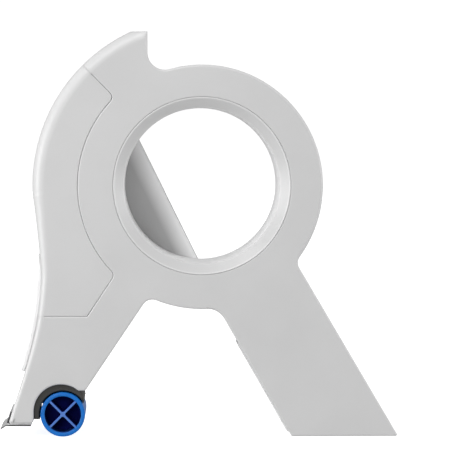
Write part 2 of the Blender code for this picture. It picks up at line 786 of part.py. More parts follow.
def grip_region(grow):
    """The grip's area as seen from the side, made larger all round by the given amount."""
    inner = GRIP_INNER_RADIUS - grow
    outside = SPINE_RADIUS + SPINE_ROUND + OVERRUN
    tip_low = polar(HUB, inner, GRIP_LOW_ANGLE)
    tail_way = (math.cos(math.radians(GRIP_TAIL_ANGLE)), math.sin(math.radians(GRIP_TAIL_ANGLE)))
    side_way = (-tail_way[1], tail_way[0])
    tail_start = along(tip_low, side_way, grow)
    foot_height = GRIP_FOOT_HEIGHT - grow
    foot = lines_meet(tail_start, tail_way, (0, foot_height), (1, 0))
    top_way = (math.cos(math.radians(GRIP_TOP_ANGLE)), math.sin(math.radians(GRIP_TOP_ANGLE)))
    top_side = (top_way[1], -top_way[0])
    top_base = along(HUB, top_side, grow)
    top_tip = line_meets_circle(top_base, top_way, HUB, inner)
    top_out = line_meets_circle(top_base, top_way, HUB, outside)
    top_arc = polar(HUB, inner, GRIP_TOP_ANGLE + GRIP_TIP_FILLET / inner * 90)
    low_arc = polar(HUB, inner, GRIP_LOW_ANGLE - GRIP_TIP_FILLET / inner * 90)
    first = angle_of(HUB, top_tip)
    start = first + math.degrees(1.6 * GRIP_TIP_FILLET / inner)
    end = GRIP_LOW_ANGLE - math.degrees(1.6 * GRIP_TIP_FILLET / inner)
    corner = (HUB_X - outside - TOE_REACH + SPINE_RADIUS, foot_height)
    return [
        *rounded_corner(top_out, top_tip, top_arc, GRIP_TIP_FILLET),
        *arc(HUB, inner, start, end),
        *rounded_corner(low_arc, tip_low, foot, GRIP_TIP_FILLET),
        foot,
        corner,
        (corner[0], top_out[1]),
        top_out,
    ]


def side_outline(corner):
    """The near side's whole outline, anticlockwise, with the points of the toe's rear corner."""
    stretches = disc_and_leg() + hook_and_spine() + toe_and_recess(corner)
    return flatten(stretches + tail_edge() + crotch_and_leg())


def grip_outline():
    """The spine's outline, closed by two corners under the drum's axis."""
    behind = [([(HUB_X, height)], EDGE_ROUND, WALL) for height in (TOE_HEIGHT, BODY_HEIGHT)]
    return flatten(hook_and_spine() + behind)


def free_edge():
    """The far side's straight free edge, from the crotch up past the drum, then up to the hook."""
    way = lean(FREE_EDGE_RAKE)
    left = (-way[1], way[0])
    base = along(HUB, left, FREE_EDGE_OFFSET)
    low = line_meets_circle(base, way, HUB, CROTCH_RADIUS, far=False)
    bend = lines_meet(base, way, (0, FREE_EDGE_HEIGHT), (1, 0))
    hook = (HOOK_X, HUB_HEIGHT + DISC_RADIUS)
    top = (HOOK_X, BODY_HEIGHT)
    return [
        low,
        *rounded_corner(low, bend, hook, FREE_EDGE_FILLET),
        *rounded_corner(bend, hook, top, FREE_EDGE_FILLET),
    ]


def far_outline():
    """The far side: the same front as the near side, a free straight edge and a lobe round the axle."""
    left_centre, left = crotch_left()
    under = arc(HUB, CROTCH_RADIUS, angle_of(HUB, left_centre), angle_of(HUB, free_edge()[0]))
    drop = math.degrees(math.asin((RECESS[1] - ROLLER[1]) / AXLE_LOBE_RADIUS))
    lobe = arc(ROLLER, AXLE_LOBE_RADIUS, 180 - drop, 360, SMALL_ARC_STEP)
    stretches = [(free_edge(), EDGE_ROUND, 0), *hook_and_spine()]
    stretches += [
        (toe_corner(), EDGE_ROUND, 0),
        ([(TOE_EDGE, RECESS[1])], EDGE_ROUND, 0),
        (lobe, EDGE_ROUND, 0),
        ([TAIL], EDGE_ROUND, 0),
        (left, EDGE_ROUND, 0),
        (under[1:-1], EDGE_ROUND, 0),
    ]
    return flatten(stretches)


def far_pocket():
    """The far side's hollow: walled at the hook, the spine and the front, solid in the toe, open behind."""
    points, _, _ = flatten(hook_and_spine())
    inner = inset_points([(HOOK_X, HUB_HEIGHT), *points, (TOE_EDGE, TOE_HEIGHT)], [WALL] * (len(points) + 2))
    front = [tuple(point) for point in inner[1:-1] if point[1] > TOE_BLOCK_TOP]
    edge = HUB_X + BLADE_REACH
    return [
        (front[0][0], FREE_EDGE_HEIGHT),
        *front,
        (front[-1][0], TOE_BLOCK_TOP),
        (ROLLER[0], TOE_BLOCK_TOP),
        (ROLLER[0], -OVERRUN),
        (edge, -OVERRUN),
        (edge, FREE_EDGE_HEIGHT),
    ]


def make_near_side():
    """The near side: plate, rims, collar round the drum, and posts for the screws from the far side."""
    points, rounds, _ = side_outline(toe_corner())
    side = rounded_slab("near_side", points, rounds, NEAR, LEG_RIM_END, True, False)
    left = box(
        "near_left_trim",
        (HUB_X - BLADE_REACH - OVERRUN, RIM_END, -OVERRUN),
        (HUB_X - HOOK_REACH / 2, LEG_RIM_END + OVERRUN, BODY_HEIGHT + OVERRUN),
    )
    points, _, insets = side_outline([(TOE_EDGE, TOE_HEIGHT)])
    hollow = flat_solid("near_hollow", [inset_points(points, insets)], PLATE_BACK, LEG_RIM_END + OVERRUN)
    cut(side, as_cutter(hollow, "near_hollow"), as_cutter(left, "near_left_trim"))
    inside = PLATE_BACK - PLATE / 2
    collar_radius = WINDOW_RADIUS + COLLAR_WIDTH
    collar = round_bar("near_collar", HUB, collar_radius, inside, COLLAR_END, DRUM_SIDES)
    join(side, as_cutter(collar, "near_collar"))
    places = [hook_post(), *leg_posts(), *rear_posts()]
    for i, place in enumerate(places):
        post = round_bar(f"near_post_{i}", place, POST_RADIUS, inside, POST_END)
        join(side, as_cutter(post, f"near_post_{i}"))
    grip_room = flat_solid("near_grip_room", [grip_region(SEAM)], NEAR - OVERRUN, LEG_RIM_END + OVERRUN)
    seat = PLATE_BACK - SEAT_GAP
    guard_hole = round_bar("near_guard_room", RECESS, GUARD_SEAT, seat, RIM_END + OVERRUN, ROLLER_SIDES)
    cut(side, window_cutter(), as_cutter(grip_room, "near_grip_room"))
    cut(side, as_cutter(guard_hole, "near_guard_room"))
    for i, place in enumerate(places):
        cut(side, screw_hole(f"near_hole_{i}", place))
    cut_as_manifold(side)
    return as_part(side, "near_side_frame", "body_plastic")


def window_cutter():
    """The drum's window with its sloped seat for the flare."""
    lip = NEAR + FLARE_LIP + SEAT_GAP
    throat = NEAR + FLARE_DEPTH + DRUM_WALL / 2 + SEAT_GAP
    profile = [
        (0, NEAR - OVERRUN),
        (FLARE_RADIUS + SEAT_GAP, NEAR - OVERRUN),
        (FLARE_RADIUS + SEAT_GAP, lip),
        (WINDOW_RADIUS, throat),
        (WINDOW_RADIUS, COLLAR_END + OVERRUN),
        (0, COLLAR_END + OVERRUN),
    ]
    return as_cutter(turned("drum_window", profile, HUB, DRUM_SIDES), "drum_window")


def spine_wall_outline():
    """The wall behind the roll: an arc round it, then straight down to the arch over the roller."""
    outer = SPINE_WALL_RADIUS
    inner = SPINE_WALL_RADIUS - SPINE_WALL
    hook_angle = math.degrees(math.acos(-(HOOK_REACH + WALL / 2) / SPINE_WALL_RADIUS))
    foot = spine_wall_foot()
    return [
        *arc(HUB, outer, hook_angle, 180),
        (foot[0] - SPINE_WALL / 2, foot[1]),
        (foot[0] + SPINE_WALL / 2, foot[1]),
        *arc(HUB, inner, 180, hook_angle),
    ]


def guard_arch_outline():
    """The arch of the far side that the roller guard seats in."""
    outer = arc(RECESS, GUARD_SEAT + SPINE_WALL, ARCH_START_ANGLE, 180, SMALL_ARC_STEP)
    inner = arc(RECESS, GUARD_SEAT, 180, ARCH_START_ANGLE, SMALL_ARC_STEP)
    return outer + inner


def make_far_side():
    """The far side: cheek, outer walls, the wall behind the roll, the solid toe and the axle's boss."""
    points, rounds, _ = far_outline()
    side = rounded_slab("far_side", points, rounds, SHELL_START, FAR, False, True)
    hollow = flat_solid("far_hollow", [far_pocket()], SHELL_START - OVERRUN, FAR_PLATE_FACE)
    grip_room = flat_solid("far_grip_room", [grip_region(SEAM)], SHELL_START - OVERRUN, FAR + OVERRUN)
    cut(side, as_cutter(hollow, "far_hollow"), as_cutter(grip_room, "far_grip_room"))
    deep = FAR_PLATE_FACE + PLATE / 2
    start, end = PLATE_BACK + SEAT_GAP, FAR_PLATE_FACE - SEAT_GAP
    wall = flat_solid("far_spine_wall", [spine_wall_outline()], start, end)
    arch = flat_solid("far_guard_arch", [guard_arch_outline()], SHELL_START + SEAT_GAP, deep)
    join(side, as_cutter(wall, "far_spine_wall"), *spine_wall_roots(deep))
    join(side, as_cutter(arch, "far_guard_arch"), *grip_boss_solids())
    cut(side, guard_room())
    boss = round_bar("far_axle_boss", ROLLER, AXLE_BOSS_RADIUS, AXLE_BOSS_START, deep, ROLLER_SIDES)
    join(side, as_cutter(boss, "far_axle_boss"))
    for i, place in enumerate([hook_post(), *leg_posts()]):
        room = round_bar(
            f"far_post_room_{i}", place, POST_RADIUS + SEAT_GAP, SHELL_START - OVERRUN, WELL_START
        )
        well = round_bar(f"far_well_{i}", place, WELL_RADIUS, WELL_START, deep)
        cut(side, as_cutter(room, f"far_post_room_{i}"))
        join(side, as_cutter(well, f"far_well_{i}"))
        cut(side, screw_hole(f"far_hole_{i}", place))
    for i, place in enumerate(grip_bosses()):
        cut(side, screw_hole(f"far_grip_hole_{i}", place))
    cut(side, bush_bore(), *blade_screw_holes("far_toe"))
    cut_as_manifold(side)
    return as_part(side, "far_side_frame", "body_plastic")


def spine_wall_roots(deep):
    """What joins the wall behind the roll to the cheek: one along its arc, one below the grip."""
    start = FAR_PLATE_FACE - PLATE
    outer = SPINE_WALL_RADIUS - SEAT_GAP
    inner = SPINE_WALL_RADIUS - SPINE_WALL + SEAT_GAP
    curved = [
        *arc(HUB, outer, ROOT_START_ANGLE, ROOT_END_ANGLE),
        *arc(HUB, inner, ROOT_END_ANGLE, ROOT_START_ANGLE),
    ]
    half = SPINE_WALL / 2 - SEAT_GAP
    top = spine_wall_middle(GRIP_FOOT_HEIGHT - SEAM - WALL)
    foot = spine_wall_foot()
    straight = [
        (top[0] + half, top[1]),
        (top[0] - half, top[1]),
        (foot[0] - half, foot[1]),
        (foot[0] + half, foot[1]),
    ]
    return [
        as_cutter(flat_solid("far_wall_root_upper", [curved], start, deep), "far_wall_root_upper"),
        as_cutter(flat_solid("far_wall_root_lower", [straight], start, deep), "far_wall_root_lower"),
    ]


def grip_boss_solids():
    """The bosses behind the spine that carry the grip, each on a rib from the wall behind the roll."""
    start = PLATE_BACK + SEAT_GAP
    solids = []
    for i, place in enumerate(grip_bosses()):
        boss = round_bar(f"far_grip_boss_{i}", place, POST_RADIUS, start, POST_END)
        rib = box(
            f"far_grip_rib_{i}",
            (place[0], start + SEAT_GAP, place[1] - GRIP_RIB / 2),
            (spine_wall_middle(place[1])[0], POST_END - SEAT_GAP, place[1] + GRIP_RIB / 2),
        )
        solids += [as_cutter(rib, f"far_grip_rib_{i}"), as_cutter(boss, f"far_grip_boss_{i}")]
    return solids


def bush_bore():
    """The bore of the axle boss, with the pocket for the clip at its far end."""
    profile = [
        (0, AXLE_BOSS_START - OVERRUN),
        (BUSH_SEAT, AXLE_BOSS_START - OVERRUN),
        (BUSH_SEAT, CLIP_POCKET_FLOOR),
        (CLIP_POCKET_RADIUS, CLIP_POCKET_FLOOR),
        (CLIP_POCKET_RADIUS, FAR + OVERRUN),
        (0, FAR + OVERRUN),
    ]
    return as_cutter(turned("axle_bore", profile, ROLLER, ROLLER_SIDES), "axle_bore")


def guard_room():
    room = round_bar(
        "guard_room", RECESS, GUARD_SEAT, SHELL_START - OVERRUN, FAR_PLATE_FACE + SEAT_GAP, ROLLER_SIDES
    )
    return as_cutter(room, "guard_room")


def make_grip():
    """The U-shaped shell: both cheeks and the rounded wall between them, as one piece."""
    points, rounds, _ = grip_outline()
    grip = rounded_slab("grip", points, rounds, NEAR, FAR, True, True)
    inner = inset_points(points, [WALL] * len(points))
    hollow = flat_solid("grip_hollow", [inner], PLATE_BACK, FAR_PLATE_FACE)
    cut(grip, as_cutter(hollow, "grip_hollow"))
    for i, place in enumerate(grip_bosses()):
        well = round_bar(f"grip_well_{i}", place, WELL_RADIUS, WELL_START, FAR_PLATE_FACE + PLATE / 2)
        join(grip, as_cutter(well, f"grip_well_{i}"))
        cut(grip, screw_hole(f"grip_hole_{i}", place))
    region = flat_solid("grip_area", [grip_region(0)], NEAR - OVERRUN, FAR + OVERRUN)
    keep(grip, as_cutter(region, "grip_area"))
    return as_part(grip, "spine_grip", "grip_plastic")


def make_apron():
    """The strip that stands out in front of the lower spine, thin at its top and square at its foot."""
    front = [point for point in spine_curve() if APRON_BOTTOM < point[1] < APRON_TOP]
    shares = [min(1, (APRON_TOP - z) / (APRON_TOP - APRON_FULL)) for _, z in front]
    loop = np.array(front)
    way = np.gradient(loop, axis=0)
    way /= np.linalg.norm(way, axis=1)[:, None]
    out = np.stack([way[:, 1], -way[:, 0]], axis=1)
    thick = APRON_THIN + (APRON_THICKNESS - APRON_THIN) * np.array(shares)
    inner = loop + out * SEAT_GAP
    outer = loop + out * (SEAT_GAP + thick)[:, None]
    outline = np.concatenate([inner, outer[::-1]])
    apron = flat_solid("apron", [outline], SHELL_START, FAR_PLATE_FACE)
    return as_part(apron, "front_apron", "apron_plastic")


def rear_leg_outline():
    """The rear leg's outline: the right leg, wider along its inner edge, closed by an arc under the roll that
    ends beside the far side's free edge."""
    corner = (HUB_X + LEG_REACH, 0)
    foot = (HUB_X + LEG_REACH - LEG_FOOT, 0)
    outer = lean(LEG_OUTER_RAKE)
    inner = lean(LEG_INNER_RAKE)
    lap = (-math.cos(math.radians(LEG_INNER_RAKE)), -math.sin(math.radians(LEG_INNER_RAKE)))
    wide_foot = lines_meet(along(foot, lap, LEG_LAP), inner, (0, 0), (1, 0))
    lap_base = along(foot, lap, LEG_LAP)
    lap_top = lines_meet(lap_base, inner, (0, LEG_LAP_TOP), (1, 0))
    edge_top = lines_meet(foot, inner, (0, LEG_LAP_TOP + LEG_LAP), (1, 0))
    free_way = lean(FREE_EDGE_RAKE)
    beside = along(HUB, (-free_way[1], free_way[0]), FREE_EDGE_OFFSET - SEAT_GAP)
    high = line_meets_circle(beside, free_way, HUB, SPINE_WALL_RADIUS, far=False)
    over = line_meets_circle(corner, outer, HUB, SPINE_WALL_RADIUS, far=False)
    top = arc(HUB, SPINE_WALL_RADIUS, angle_of(HUB, over), angle_of(HUB, high))
    return [corner, *top, edge_top, lap_top, wide_foot]


def make_rear_leg():
    """The rear half of the right leg: a tray that is open to the near side and to the roll."""
    points = rear_leg_outline()
    shell = rounded_slab("rear_leg", points, [EDGE_ROUND] * len(points), LEG_SHELL_START, FAR, False, True)
    inner = inset_points(points, [WALL] * len(points))
    hollow = flat_solid("rear_leg_hollow", [inner], LEG_SHELL_START - OVERRUN, FAR_PLATE_FACE)
    cut(shell, as_cutter(hollow, "rear_leg_hollow"))
    for i, place in enumerate(rear_posts()):
        well = round_bar(f"rear_leg_well_{i}", place, WELL_RADIUS, WELL_START, FAR_PLATE_FACE + PLATE / 2)
        join(shell, as_cutter(well, f"rear_leg_well_{i}"))
        cut(shell, screw_hole(f"rear_leg_hole_{i}", place))
    return as_part(shell, "rear_leg_shell", "body_plastic")


# Drum, roller and their mountings


def make_drum():
    """The drum: a flared bezel in the near side, a tapered bore, and a snap ridge behind the collar."""
    lip = NEAR + FLARE_LIP
    throat = NEAR + FLARE_DEPTH
    ridge = COLLAR_END + SEAT_GAP
    end = FAR_PLATE_FACE - SEAT_GAP
    profile = [
        (FLARE_RADIUS, NEAR),
        (FLARE_RADIUS, lip),
        (DRUM_RADIUS, throat + DRUM_WALL / 2),
        (DRUM_RADIUS, ridge),
        (DRUM_RADIUS + SNAP_HEIGHT, ridge),
        (DRUM_RADIUS, ridge + SNAP_WIDTH),
        (DRUM_RADIUS, end),
        (BORE_RADIUS - BORE_TAPER, end),
        (BORE_RADIUS, throat),
    ]
    drum = turned("drum", profile, HUB, DRUM_SIDES)
    return as_part(drum, "hub_drum", "drum_plastic")


def make_roller():
    """The roller: a rim, crossed ribs at its near end, a web behind them and a boss for the shaft."""
    bore = ROLLER_RADIUS - ROLLER_RIM
    socket = SHAFT_START - SEAT_GAP
    profile = [
        (ROLLER_RADIUS, ROLLER_START),
        (ROLLER_RADIUS, ROLLER_END),
        (bore, ROLLER_END),
        (bore, WEB_END),
        (ROLLER_BOSS_RADIUS, WEB_END),
        (ROLLER_BOSS_RADIUS, ROLLER_BOSS_END),
        (SHAFT_RADIUS + SEAT_GAP, ROLLER_BOSS_END),
        (SHAFT_RADIUS + SEAT_GAP, socket),
        (0, socket),
        (0, WEB_START),
        (bore, WEB_START),
        (bore, ROLLER_START),
    ]
    roller = turned("roller", profile, ROLLER, ROLLER_SIDES)
    reach = bore + ROLLER_RIM / 2
    for i, angle in enumerate((45, -45)):
        rib = box(
            f"roller_rib_{i}",
            (-reach, ROLLER_START + SEAT_GAP, -ROLLER_RIB / 2),
            (reach, (WEB_START + socket) / 2, ROLLER_RIB / 2),
        )
        rib.rotation_euler = (0, math.radians(angle), 0)
        rib.location = (ROLLER[0], rib.location.y, ROLLER[1])
        join(roller, as_cutter(rib, f"roller_rib_{i}"))
    return as_part(roller, "press_roller", "roller_plastic")


def make_shaft():
    groove = SHAFT_RADIUS - GROOVE_DEPTH
    low = CLIP_START - SEAT_GAP / 2
    high = CLIP_START + CLIP_THICKNESS + SEAT_GAP / 2
    profile = [
        (0, SHAFT_START),
        (SHAFT_RADIUS, SHAFT_START),
        (SHAFT_RADIUS, low),
        (groove, low),
        (groove, high),
        (SHAFT_RADIUS, high),
        (SHAFT_RADIUS, SHAFT_END),
        (0, SHAFT_END),
    ]
    shaft = turned("shaft", profile, ROLLER, SMALL_SIDES)
    return as_part(shaft, "roller_shaft", "shaft_steel")


def make_bush(name, flange_start, sleeve_far):
    """A flanged bush: its flange lies against the boss, and its sleeve runs into the boss's bore."""
    flange_end = flange_start + FLANGE_THICKNESS
    if sleeve_far:
        profile = [
            (BUSH_BORE, flange_start),
            (FLANGE_RADIUS, flange_start),
            (FLANGE_RADIUS, flange_end),
            (BUSH_RADIUS, flange_end),
            (BUSH_RADIUS, flange_end + BUSH_LENGTH),
            (BUSH_BORE, flange_end + BUSH_LENGTH),
        ]
    else:
        profile = [
            (BUSH_BORE, flange_start - BUSH_LENGTH),
            (BUSH_RADIUS, flange_start - BUSH_LENGTH),
            (BUSH_RADIUS, flange_start),
            (FLANGE_RADIUS, flange_start),
            (FLANGE_RADIUS, flange_end),
            (BUSH_BORE, flange_end),
        ]
    return as_part(turned(name, profile, ROLLER, SMALL_SIDES), name, "bush_plastic")


def make_washer():
    end = WASHER_START + WASHER_THICKNESS
    profile = [
        (BUSH_BORE, WASHER_START),
        (FLANGE_RADIUS, WASHER_START),
        (FLANGE_RADIUS, end),
        (BUSH_BORE, end),
    ]
    return as_part(turned("washer", profile, ROLLER, SMALL_SIDES), "thrust_washer", "bush_plastic")


def make_clip():
    """The open retaining clip in the shaft's groove."""
    inner = SHAFT_RADIUS - GROOVE_DEPTH + SEAT_GAP
    end = CLIP_START + CLIP_THICKNESS
    profile = [(inner, CLIP_START), (CLIP_RADIUS, CLIP_START), (CLIP_RADIUS, end), (inner, end)]
    clip = turned("clip", profile, ROLLER, SMALL_SIDES)
    mouth = box(
        "clip_mouth",
        (ROLLER[0] - inner, CLIP_START - OVERRUN, ROLLER[1]),
        (ROLLER[0] + inner, end + OVERRUN, ROLLER[1] + CLIP_RADIUS + OVERRUN),
    )
    cut(clip, as_cutter(mouth, "clip_mouth"))
    return as_part(clip, "shaft_clip", "shaft_steel")


def make_guard():
    """The half-round guard that hugs the roller's top and left."""
    ring = arc(RECESS, GUARD_OUTER, 0, 360, SMALL_ARC_STEP)[:-1]
    hole = arc(ROLLER, GUARD_INNER, 0, 360, SMALL_ARC_STEP)[:-1]
    near = PLATE_BACK + SEAT_GAP
    far = FAR_PLATE_FACE - SEAT_GAP
    guard = flat_solid("guard", [ring, hole], near, far)
    reach = GUARD_OUTER + OVERRUN
    below = box(
        "guard_below",
        (RECESS[0] - reach, near - OVERRUN, RECESS[1] - reach),
        (RECESS[0] + reach, far + OVERRUN, GUARD_LEFT_HEIGHT),
    )
    beside = box(
        "guard_beside",
        (HUB_X - GUARD_RIGHT_REACH, near - OVERRUN, RECESS[1] - reach - OVERRUN),
        (RECESS[0] + reach + OVERRUN, far + OVERRUN, RECESS[1] + reach),
    )
    cut(guard, as_cutter(below, "guard_below"), as_cutter(beside, "guard_beside"))
    return as_part(guard, "roller_guard", "guard_plastic")


# Blade


def strip_outline(path):
    """The edge view of a bent strip of sheet: a path on its lower side and the same path one sheet away."""
    loop = np.array(path)
    way = np.diff(loop, axis=0)
    way /= np.linalg.norm(way, axis=1)[:, None]
    normals = np.stack([-way[:, 1], way[:, 0]], axis=1)
    first, last = normals[:1], normals[-1:]
    middle = (normals[:-1] + normals[1:]) / (1 + np.sum(normals[:-1] * normals[1:], axis=1))[:, None]
    offset = np.concatenate([first, middle, last]) * SHEET
    return np.concatenate([loop, (loop + offset)[::-1]])


def blade_depths():
    return PLATE_BACK + BLADE_MARGIN, FAR_PLATE_FACE - BLADE_MARGIN


def make_holder():
    """The steel angle in front of the toe: a flange under it and an upright edge."""
    near, far = blade_depths()
    front_way = unit(TOE_TIP, spine_curve()[-3])
    bend = (TOE_TIP[0] - HOLDER_GAP, HOLDER_TOP - SHEET)
    top = along(bend, front_way, HOLDER_HEIGHT)
    end = (TOE_TIP[0] + FLANGE_LENGTH, HOLDER_TOP - SHEET)
    holder = flat_solid("holder", [strip_outline([top, bend, end])], near, far)
    cut(holder, *blade_screw_holes("holder"))
    return as_part(holder, "blade_holder", "blade_steel")


def make_blade():
    """The toothed steel strip: a flange under the holder and an edge that leaves down to the left."""
    near, far = blade_depths()
    low = BLADE_TOP - SHEET
    tip = (HUB_X - BLADE_REACH, BLADE_TIP_HEIGHT)
    bend = (HUB_X - BLADE_REACH + BLADE_BEND, low)
    end = (TOE_TIP[0] + FLANGE_LENGTH, low)
    blade = flat_solid("blade", [strip_outline([tip, bend, end])], near, far)
    teeth = round((far - near) / TOOTH_PITCH)
    pitch = (far - near) / teeth
    way = unit(bend, tip)
    for i in range(teeth + 1):
        gap = tooth_gap(near + i * pitch, pitch / 2, along(tip, way, -TOOTH_DEPTH), way)
        cut(blade, as_cutter(gap, f"tooth_gap_{i}"))
    cut(blade, *blade_screw_holes("blade"))
    return as_part(blade, "cutter_blade", "blade_steel")


def tooth_gap(middle, half, root, way):
    """A wedge through the blade's edge, pointed at the root of the gap between two teeth."""
    reach = TOOTH_DEPTH + OVERRUN
    work = bmesh.new()
    for distance, spread in ((0, 0), (reach, half * reach / TOOTH_DEPTH)):
        for side in (-1, 1):
            for across in (-OVERRUN, OVERRUN):
                x, z = along(along(root, way, distance), (-way[1], way[0]), across)
                work.verts.new((x, middle + side * spread, z))
    bmesh.ops.remove_doubles(work, verts=work.verts, dist=MERGE)
    bmesh.ops.convex_hull(work, input=work.verts)
    bmesh.ops.recalc_face_normals(work, faces=work.faces)
    mesh = bpy.data.meshes.new("tooth_gap")
    work.to_mesh(mesh)
    work.free()
    return mesh_object("tooth_gap", mesh)


def blade_screw_places():
    """Two places in the solid toe, either side of its middle."""
    middle = (SHELL_START + FAR) / 2
    x = TOE_TIP[0] + BLADE_SCREW_SETBACK
    return [(x, middle - BLADE_SCREW_SPACING / 2), (x, middle + BLADE_SCREW_SPACING / 2)]


def upright(name, profile, place, sides=SMALL_SIDES):
    """A solid turned about a vertical axis from (radius, height) points."""
    made = turned(name, profile, (0, 0), sides)
    made.rotation_euler = (math.radians(90), 0, 0)
    made.location = (place[0], place[1], 0)
    return made


def blade_screw_holes(owner):
    """Clearance for the countersunk screws that come up from below."""
    floor = BLADE_TOP - SHEET
    head = BLADE_HEAD_RADIUS + SEAT_GAP
    shank = BLADE_SCREW_RADIUS + SEAT_GAP
    end = floor + BLADE_SCREW_LENGTH + SEAT_GAP
    profile = [
        (0, floor - OVERRUN),
        (head, floor - OVERRUN),
        (head, floor),
        (shank, floor + BLADE_HEAD_HEIGHT),
        (shank, end),
        (0, end),
    ]
    holes = []
    for i, place in enumerate(blade_screw_places()):
        name = f"{owner}_screw_hole_{i}"
        holes.append(as_cutter(upright(name, profile, place), name))
    return holes


def make_blade_screws():
    """Countersunk screws, their heads flush with the blade's underside."""
    floor = BLADE_TOP - SHEET
    profile = [
        (0, floor),
        (BLADE_HEAD_RADIUS, floor),
        (BLADE_SCREW_RADIUS, floor + BLADE_HEAD_HEIGHT),
        (BLADE_SCREW_RADIUS, floor + BLADE_SCREW_LENGTH - BLADE_SCREW_RADIUS),
        (0, floor + BLADE_SCREW_LENGTH),
    ]
    for i, place in enumerate(blade_screw_places()):
        screw = upright("blade_screw", profile, place)
        as_part(screw, f"blade_screw_{i + 1}", "screw_steel")


def make_screws(name, places, mesh):
    """Screws of one mesh, one at each place."""
    for i, (x, z) in enumerate(places):
        screw = mesh_object(name, mesh)
        screw.location = (x, 0, z)
        as_part(screw, f"{name}_{i + 1}", "screw_steel")


def build():
    make_near_side()
    make_far_side()
    make_grip()
    make_apron()
    make_rear_leg()
    make_drum()
    make_roller()
    make_shaft()
    make_bush("shaft_bush_inner", INNER_FLANGE_START, True)
    make_bush("shaft_bush_outer", OUTER_FLANGE_START, False)
    make_washer()
    make_clip()
    make_guard()
    make_holder()
    make_blade()
    make_blade_screws()
    mesh = screw_mesh()
    make_screws("frame_screw", [hook_post(), *leg_posts()], mesh)
    make_screws("leg_screw", rear_posts(), mesh)
    make_screws("grip_screw", grip_bosses(), mesh)
    for part in PARTS.objects:
        smooth(part)


clear_scene()
PARTS = new_collection("masking_tape_dispenser")
CUTTERS = new_collection("cutters")
MATERIALS = {name: make_material(name) for name in COLOURS}
build()
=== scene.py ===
"""The looks of a masking tape dispenser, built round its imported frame.

The near side faces -Y, +X is to the right of someone who looks at it, and +Z is up. All sizes are in metres.
Outlines are drawn in the plane of the sides as (across, up). A side's surface is given by its outline and by
how deep each of its rows lies below the outer face.
"""

import math

import bmesh
import bpy
import numpy as np
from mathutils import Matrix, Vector
from mathutils.geometry import tessellate_polygon


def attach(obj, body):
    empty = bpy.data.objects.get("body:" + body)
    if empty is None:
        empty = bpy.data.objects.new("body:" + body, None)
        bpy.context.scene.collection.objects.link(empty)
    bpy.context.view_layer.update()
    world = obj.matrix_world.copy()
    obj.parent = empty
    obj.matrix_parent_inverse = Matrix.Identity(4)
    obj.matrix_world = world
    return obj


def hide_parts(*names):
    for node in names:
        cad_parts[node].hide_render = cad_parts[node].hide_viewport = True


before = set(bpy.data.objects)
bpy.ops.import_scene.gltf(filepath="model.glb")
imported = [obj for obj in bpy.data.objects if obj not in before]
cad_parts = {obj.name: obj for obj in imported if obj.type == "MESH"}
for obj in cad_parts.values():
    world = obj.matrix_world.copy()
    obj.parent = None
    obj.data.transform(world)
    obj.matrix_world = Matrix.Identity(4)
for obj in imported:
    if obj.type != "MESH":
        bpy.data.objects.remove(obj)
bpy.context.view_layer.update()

MM = 0.001

# Sizes, as in the part's source

BODY_HEIGHT = 188.9 * MM
BODY_DEPTH = 46.0 * MM
LEG_REACH = 91.8 * MM
BLADE_REACH = 94.3 * MM
PLATE = 2.2 * MM
WALL = 2.2 * MM
GAP = 0.3 * MM

HOOK_RISE = 71.8 * MM
DISC_RADIUS = 56.4 * MM
CROTCH_RADIUS = 57.5 * MM
SPINE_RADIUS = 79.0 * MM
HOOK_REACH = 25.3 * MM
NOTCH_FILLET = 8.0 * MM
WAIST_FILLET = 5.0 * MM
CROTCH_FILLET = 5.0 * MM
CORNER_FILLET = 1.5 * MM
TOE_HEIGHT = 6.4 * MM
LEG_FOOT = 48.8 * MM
LEG_OUTER_OFFSET = 19.7 * MM
LEG_INNER_OFFSET = 20.7 * MM
TAIL_SETBACK = 10.6 * MM
TAIL_HEIGHT = 21.6 * MM
TAIL_OFFSET = 8.1 * MM
SPINE_END_ANGLE = 183.0
SPINE_CURVE_SHARES = (
    (0.9785, 0.8617), (0.9557, 0.7125), (0.9494, 0.6236), (0.9722, 0.4645), (1.0266, 0.3057),
)

SPINE_ROUND = 5.6 * MM
TOE_ROUND = 1.9 * MM
DISC_ROUND = 1.2 * MM
EDGE_ROUND = 0.8 * MM
RIM_DEPTH = 11.0 * MM
LEG_SPLIT = 21.0 * MM

BORE_RADIUS = 36.3 * MM
BORE_TAPER = 0.35 * MM
DRUM_WALL = 1.5 * MM
FLARE_WIDTH = 5.1 * MM
FLARE_DEPTH = 3.2 * MM
FLARE_LIP = 0.8 * MM
COLLAR_HEIGHT = 2.6 * MM
COLLAR_WIDTH = 5.0 * MM
SNAP_HEIGHT = 0.7 * MM
SNAP_WIDTH = 1.0 * MM

GRIP_INNER_RADIUS = 58.0 * MM
GRIP_TOP_ANGLE = 134.7
GRIP_LOW_ANGLE = 225.5
GRIP_TAIL_ANGLE = 236.3
GRIP_FOOT_DROP = 60.9 * MM
GRIP_TIP_FILLET = 3.0 * MM
SPINE_WALL_RADIUS = 57.2 * MM
SPINE_WALL = 1.8 * MM

FREE_EDGE_RAKE = 26.3
FREE_EDGE_OFFSET = 16.9 * MM
FREE_EDGE_RISE = 28.3 * MM
FREE_EDGE_FILLET = 7.0 * MM
AXLE_LOBE_RADIUS = 7.6 * MM

APRON_THICKNESS = 1.9 * MM
APRON_THIN = 0.6 * MM
APRON_TOP_DROP = 31.7 * MM
APRON_FULL_DROP = 47.7 * MM
APRON_BOTTOM = 29.3 * MM
LEG_LAP_DROP = 73.7 * MM

